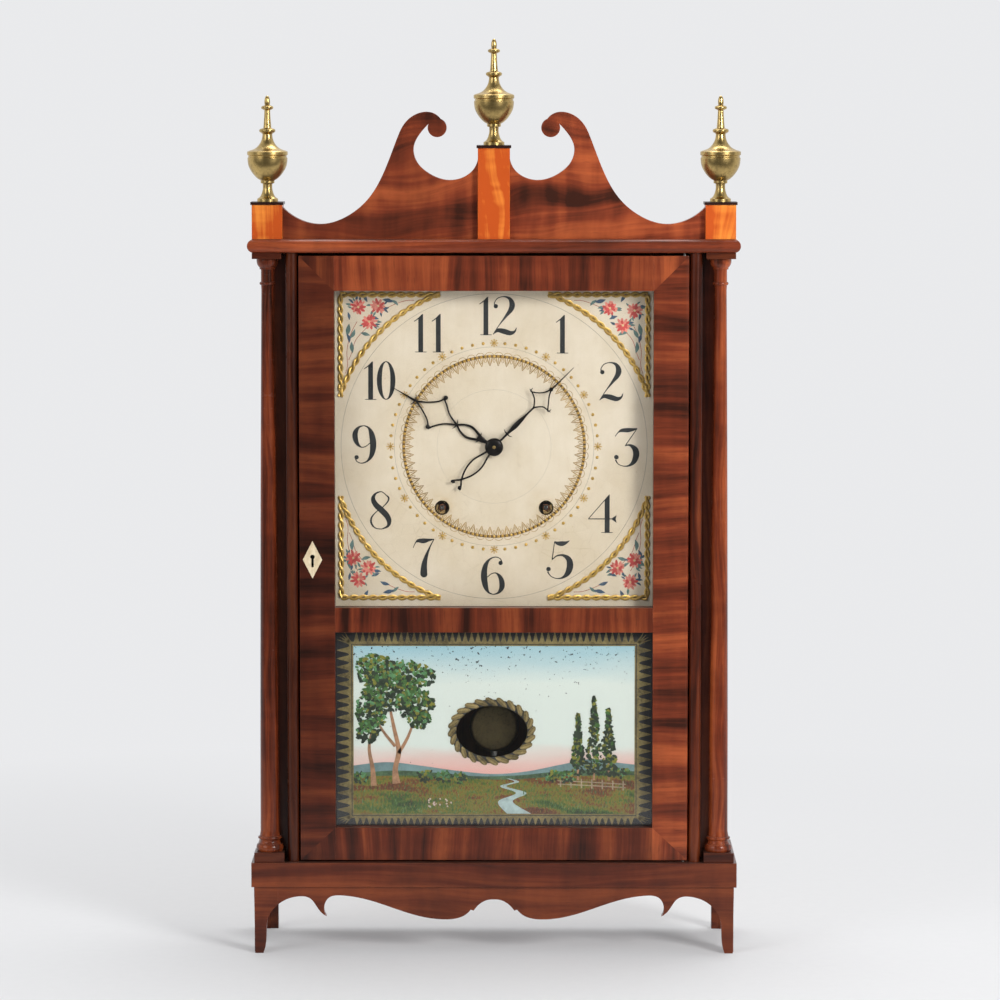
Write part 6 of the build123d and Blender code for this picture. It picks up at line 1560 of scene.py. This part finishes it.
# ---- Movement, weights and cords ----
class ClockMovement(bpy.types.Operator):
    """Wooden wheels and arbors, oak plates, steel verge, rod, hammer and fly, the bell, the pendulum and the
    iron weights
    """
    bl_idname = "clock.movement"
    bl_label = "Movement"

    def execute(self, context):
        clock = context.scene.pillar_clock
        metal = clock.metal
        cherry = colour(0.300, 0.110, 0.040)
        finish_nodes(plain_wood("Cherry wheels", cherry, "upright", 120.0, 0.45),
                     "time_great_wheel", "strike_great_wheel", "minute_wheel", "count_wheel", "hour_wheel",
                     "time_drum", "strike_drum", "time_pulley", "strike_pulley", "second_arbor",
                     "third_arbor",
                     "escape_arbor", "pin_wheel", "warning_wheel", "centre_arbor")
        finish_nodes(plain_wood("Oak plates", colour(0.270, 0.150, 0.065), "upright", 60.0, 0.55),
                     "front_plate", "back_plate")
        finish_nodes(plain_wood("Turned pillars", cherry, "front to back", 90.0, 0.5), "pillars",
                     "pulley_brackets")
        steel = old_metal("Movement steel", metal.steel, metal.iron, rough=0.34, film=0.6)
        finish_nodes(steel, "verge", "pendulum_rod", "hammer", "fly", "bell_stand")
        finish_nodes(old_metal("Bell metal", colour(0.300, 0.205, 0.085), metal.tarnish, rough=0.30,
                               film=0.7), "bell")
        # The bob's brass is painted dark: painted shade for the dim inside of the case.
        finish_nodes(old_metal("Brass bob with painted shade", colour(0.095, 0.075, 0.038), colour(0.032, 0.024, 0.013),
                               rough=0.42,
                               film=0.8, patches=80.0), "pendulum_bob")
        finish_nodes(old_metal("Rusty cast iron", metal.iron, colour(0.085, 0.033, 0.014), rough=0.6,
                               film=0.9,
                               metallic=0.4), "time_weight", "strike_weight")
        return {"FINISHED"}


CORD_X = 161.5 * MM
CORD_Y = 0.02
CORD_TOP_Z = 0.588
CORD_FOOT_Z = 0.2397


class ClockCords(bpy.types.Operator):
    """Twisted weight cords in place of the plain cord drops, and hemp on the cord runs"""
    bl_idname = "clock.weight_cords"
    bl_label = "Weight cords"

    def execute(self, context):
        fibre = brushed_paint("Hemp cord", colour(0.400, 0.300, 0.175), 0.35, 0.8, 900.0)
        finish_nodes(fibre, "cord_runs")
        for side, name in ((1, "time"), (-1, "strike")):
            cord = Shape()
            x = side * CORD_X
            cord.rope([(x, CORD_Y, CORD_FOOT_Z), (x, CORD_Y, CORD_TOP_Z)], 0.50 * MM, 7.0 * MM, 3, 0.50 * MM,
                      1.0,
                      6, 0.9 * MM)
            piece = cord.finish(name + "_cord_twisted", "case", "cord", [fibre], 60.0, (name + "_cord_drop",))
            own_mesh(piece)
        return {"FINISHED"}


# ---- Stage ----
# What polished faces that look forward show of the room behind the camera
ROOM_LEVEL = 0.12
AIM = Vector((0, 0, 0.42))
CAMERA_X = 0.027
# Degrees that the camera looks down and turns to the left
CAMERA_DIP = 5.394
CAMERA_TURN = 0.31
FLOOR_HALF = 30.0


def seen(w):
    """1 on the rays that show the backdrop, 0 on those that light the clock."""
    paths = w.put("LightPath").outputs
    shown = w.plus(paths["Is Camera Ray"], paths["Is Glossy Ray"])
    return w.plus(shown, paths["Is Transmission Ray"], clamp=True)


class ClockStage(bpy.types.Operator):
    """Pale floor and backdrop, soft lights and the camera"""
    bl_idname = "clock.stage"
    bl_label = "Stage"

    def execute(self, context):
        stage = context.scene.pillar_clock.stage
        self.world(context.scene, stage)
        self.floor(stage)
        for name, place, size, power in (("Key", (1.75, -2.45, 1.45), 1.0, stage.key),
                                         ("Fill", (-2.3, -2.2, 1.5), 2.0, stage.fill),
                                         ("Top", (0.2, 0.6, 2.6), 1.6, stage.fill * 1.35)):
            data = bpy.data.lights.new(name, "AREA")
            data.shape, data.size, data.energy = "DISK", size, power
            lamp = bpy.data.objects.new(name, data)
            lamp.location = place
            lamp.rotation_euler = (AIM - Vector(place)).to_track_quat("-Z", "Y").to_euler()
            context.scene.collection.objects.link(lamp)
        lens = bpy.data.cameras.new("Camera")
        lens.sensor_width, lens.lens = 36.0, stage.lens
        camera = bpy.data.objects.new("Camera", lens)
        camera.location = (CAMERA_X, -stage.distance, stage.eye)
        camera.rotation_euler = (radians(90 - CAMERA_DIP), 0, radians(CAMERA_TURN))
        context.scene.collection.objects.link(camera)
        context.scene.camera = camera
        context.scene.view_settings.view_transform = "Standard"
        return {"FINISHED"}

    def world(self, scene, stage):
        """Pale backdrop behind the clock, a dim room in front of it, and a lower light for diffuse faces."""
        world = bpy.data.worlds.new("Studio")
        world.use_nodes = True
        world.node_tree.nodes.clear()
        w = Wiring(world.node_tree)
        away = w.spread(w.axes(w.put("TexCoord").outputs["Generated"])[1], -0.45, 0.10, ROOM_LEVEL, 1.0)
        shown = w.math("MAXIMUM", away, w.put("LightPath").outputs["Is Camera Ray"])
        strength = w.blend_values(seen(w), stage.around, shown)
        ground = w.put("Background", {0: tuple(stage.backdrop), 1: strength})
        output = w.put("OutputWorld")
        w.tree.links.new(ground.outputs[0], output.inputs[0])
        scene.world = world

    def floor(self, stage):
        """Floor that keeps the clock's shadow and fades into the backdrop."""
        material, w, shader = new_material("Pale floor")
        x, y, z = w.axes(w.place())[:3]
        reach = w.reach(x, y)
        grain = w.noise(w.place(), 90.0, 2.0, 0.5)
        w.feed(shader.inputs["Base Color"], w.mix(w.spread(grain, 0.3, 0.7), colour(0.800, 0.803, 0.812),
                                                  colour(0.815, 0.818, 0.826)))
        shader.inputs["Roughness"].default_value = 0.85
        shader.inputs["Specular IOR Level"].default_value = 0.1
        away = w.spread(y, -1.0, -0.30, ROOM_LEVEL, 1.0)
        level = w.math("MAXIMUM", away, w.put("LightPath").outputs["Is Camera Ray"])
        glow = w.put("Emission", {0: tuple(stage.backdrop), 1: level})
        fade = w.spread(reach, 0.30, 1.2, 0.25, 1.0)
        w.show(w.times(seen(w), fade), shader, glow)
        mesh = bpy.data.meshes.new("floor")
        corners = [(x * FLOOR_HALF, y * FLOOR_HALF, 0) for x, y in ((-1, -1), (1, -1), (1, 1), (-1, 1))]
        mesh.from_pydata(corners, [], [(0, 1, 2, 3)])
        mesh.materials.append(material)
        floor = bpy.data.objects.new("floor", mesh)
        bpy.context.scene.collection.objects.link(floor)


STEPS = (ClockStage, ClockCaseWoods, ClockBrass, ClockDialFace, ClockDialCorners, ClockHands,
         ClockWindingHoles,
         ClockTablet, ClockGlass, ClockMovement, ClockCords)
SETTINGS = (WoodSettings, MetalSettings, DialSettings, TabletSettings, StageSettings, ClockSettings)


class ClockPanel(bpy.types.Panel):
    """Settings and steps of the clock"""
    bl_idname = "VIEW3D_PT_pillar_clock"
    bl_label = "Pillar and scroll clock"
    bl_space_type = "VIEW_3D"
    bl_region_type = "UI"
    bl_category = "Clock"

    def draw(self, context):
        clock = context.scene.pillar_clock
        for group in (clock.wood, clock.metal, clock.dial, clock.tablet, clock.stage):
            box = self.layout.box()
            for name in type(group).__annotations__:
                box.prop(group, name)
        for step in STEPS:
            self.layout.operator(step.bl_idname)


def register():
    """Adds the settings, the steps and the panel."""
    for each in (*SETTINGS, *STEPS, ClockPanel):
        bpy.utils.register_class(each)
    bpy.types.Scene.pillar_clock = PointerProperty(type=ClockSettings)


def unregister():
    """Takes them away again."""
    del bpy.types.Scene.pillar_clock
    for each in reversed((*SETTINGS, *STEPS, ClockPanel)):
        bpy.utils.unregister_class(each)


def main():
    """Builds the whole scene."""
    register()
    for step in STEPS:
        group, name = step.bl_idname.split(".")
        getattr(getattr(bpy.ops, group), name)()


if __name__ == "__main__":
    main()
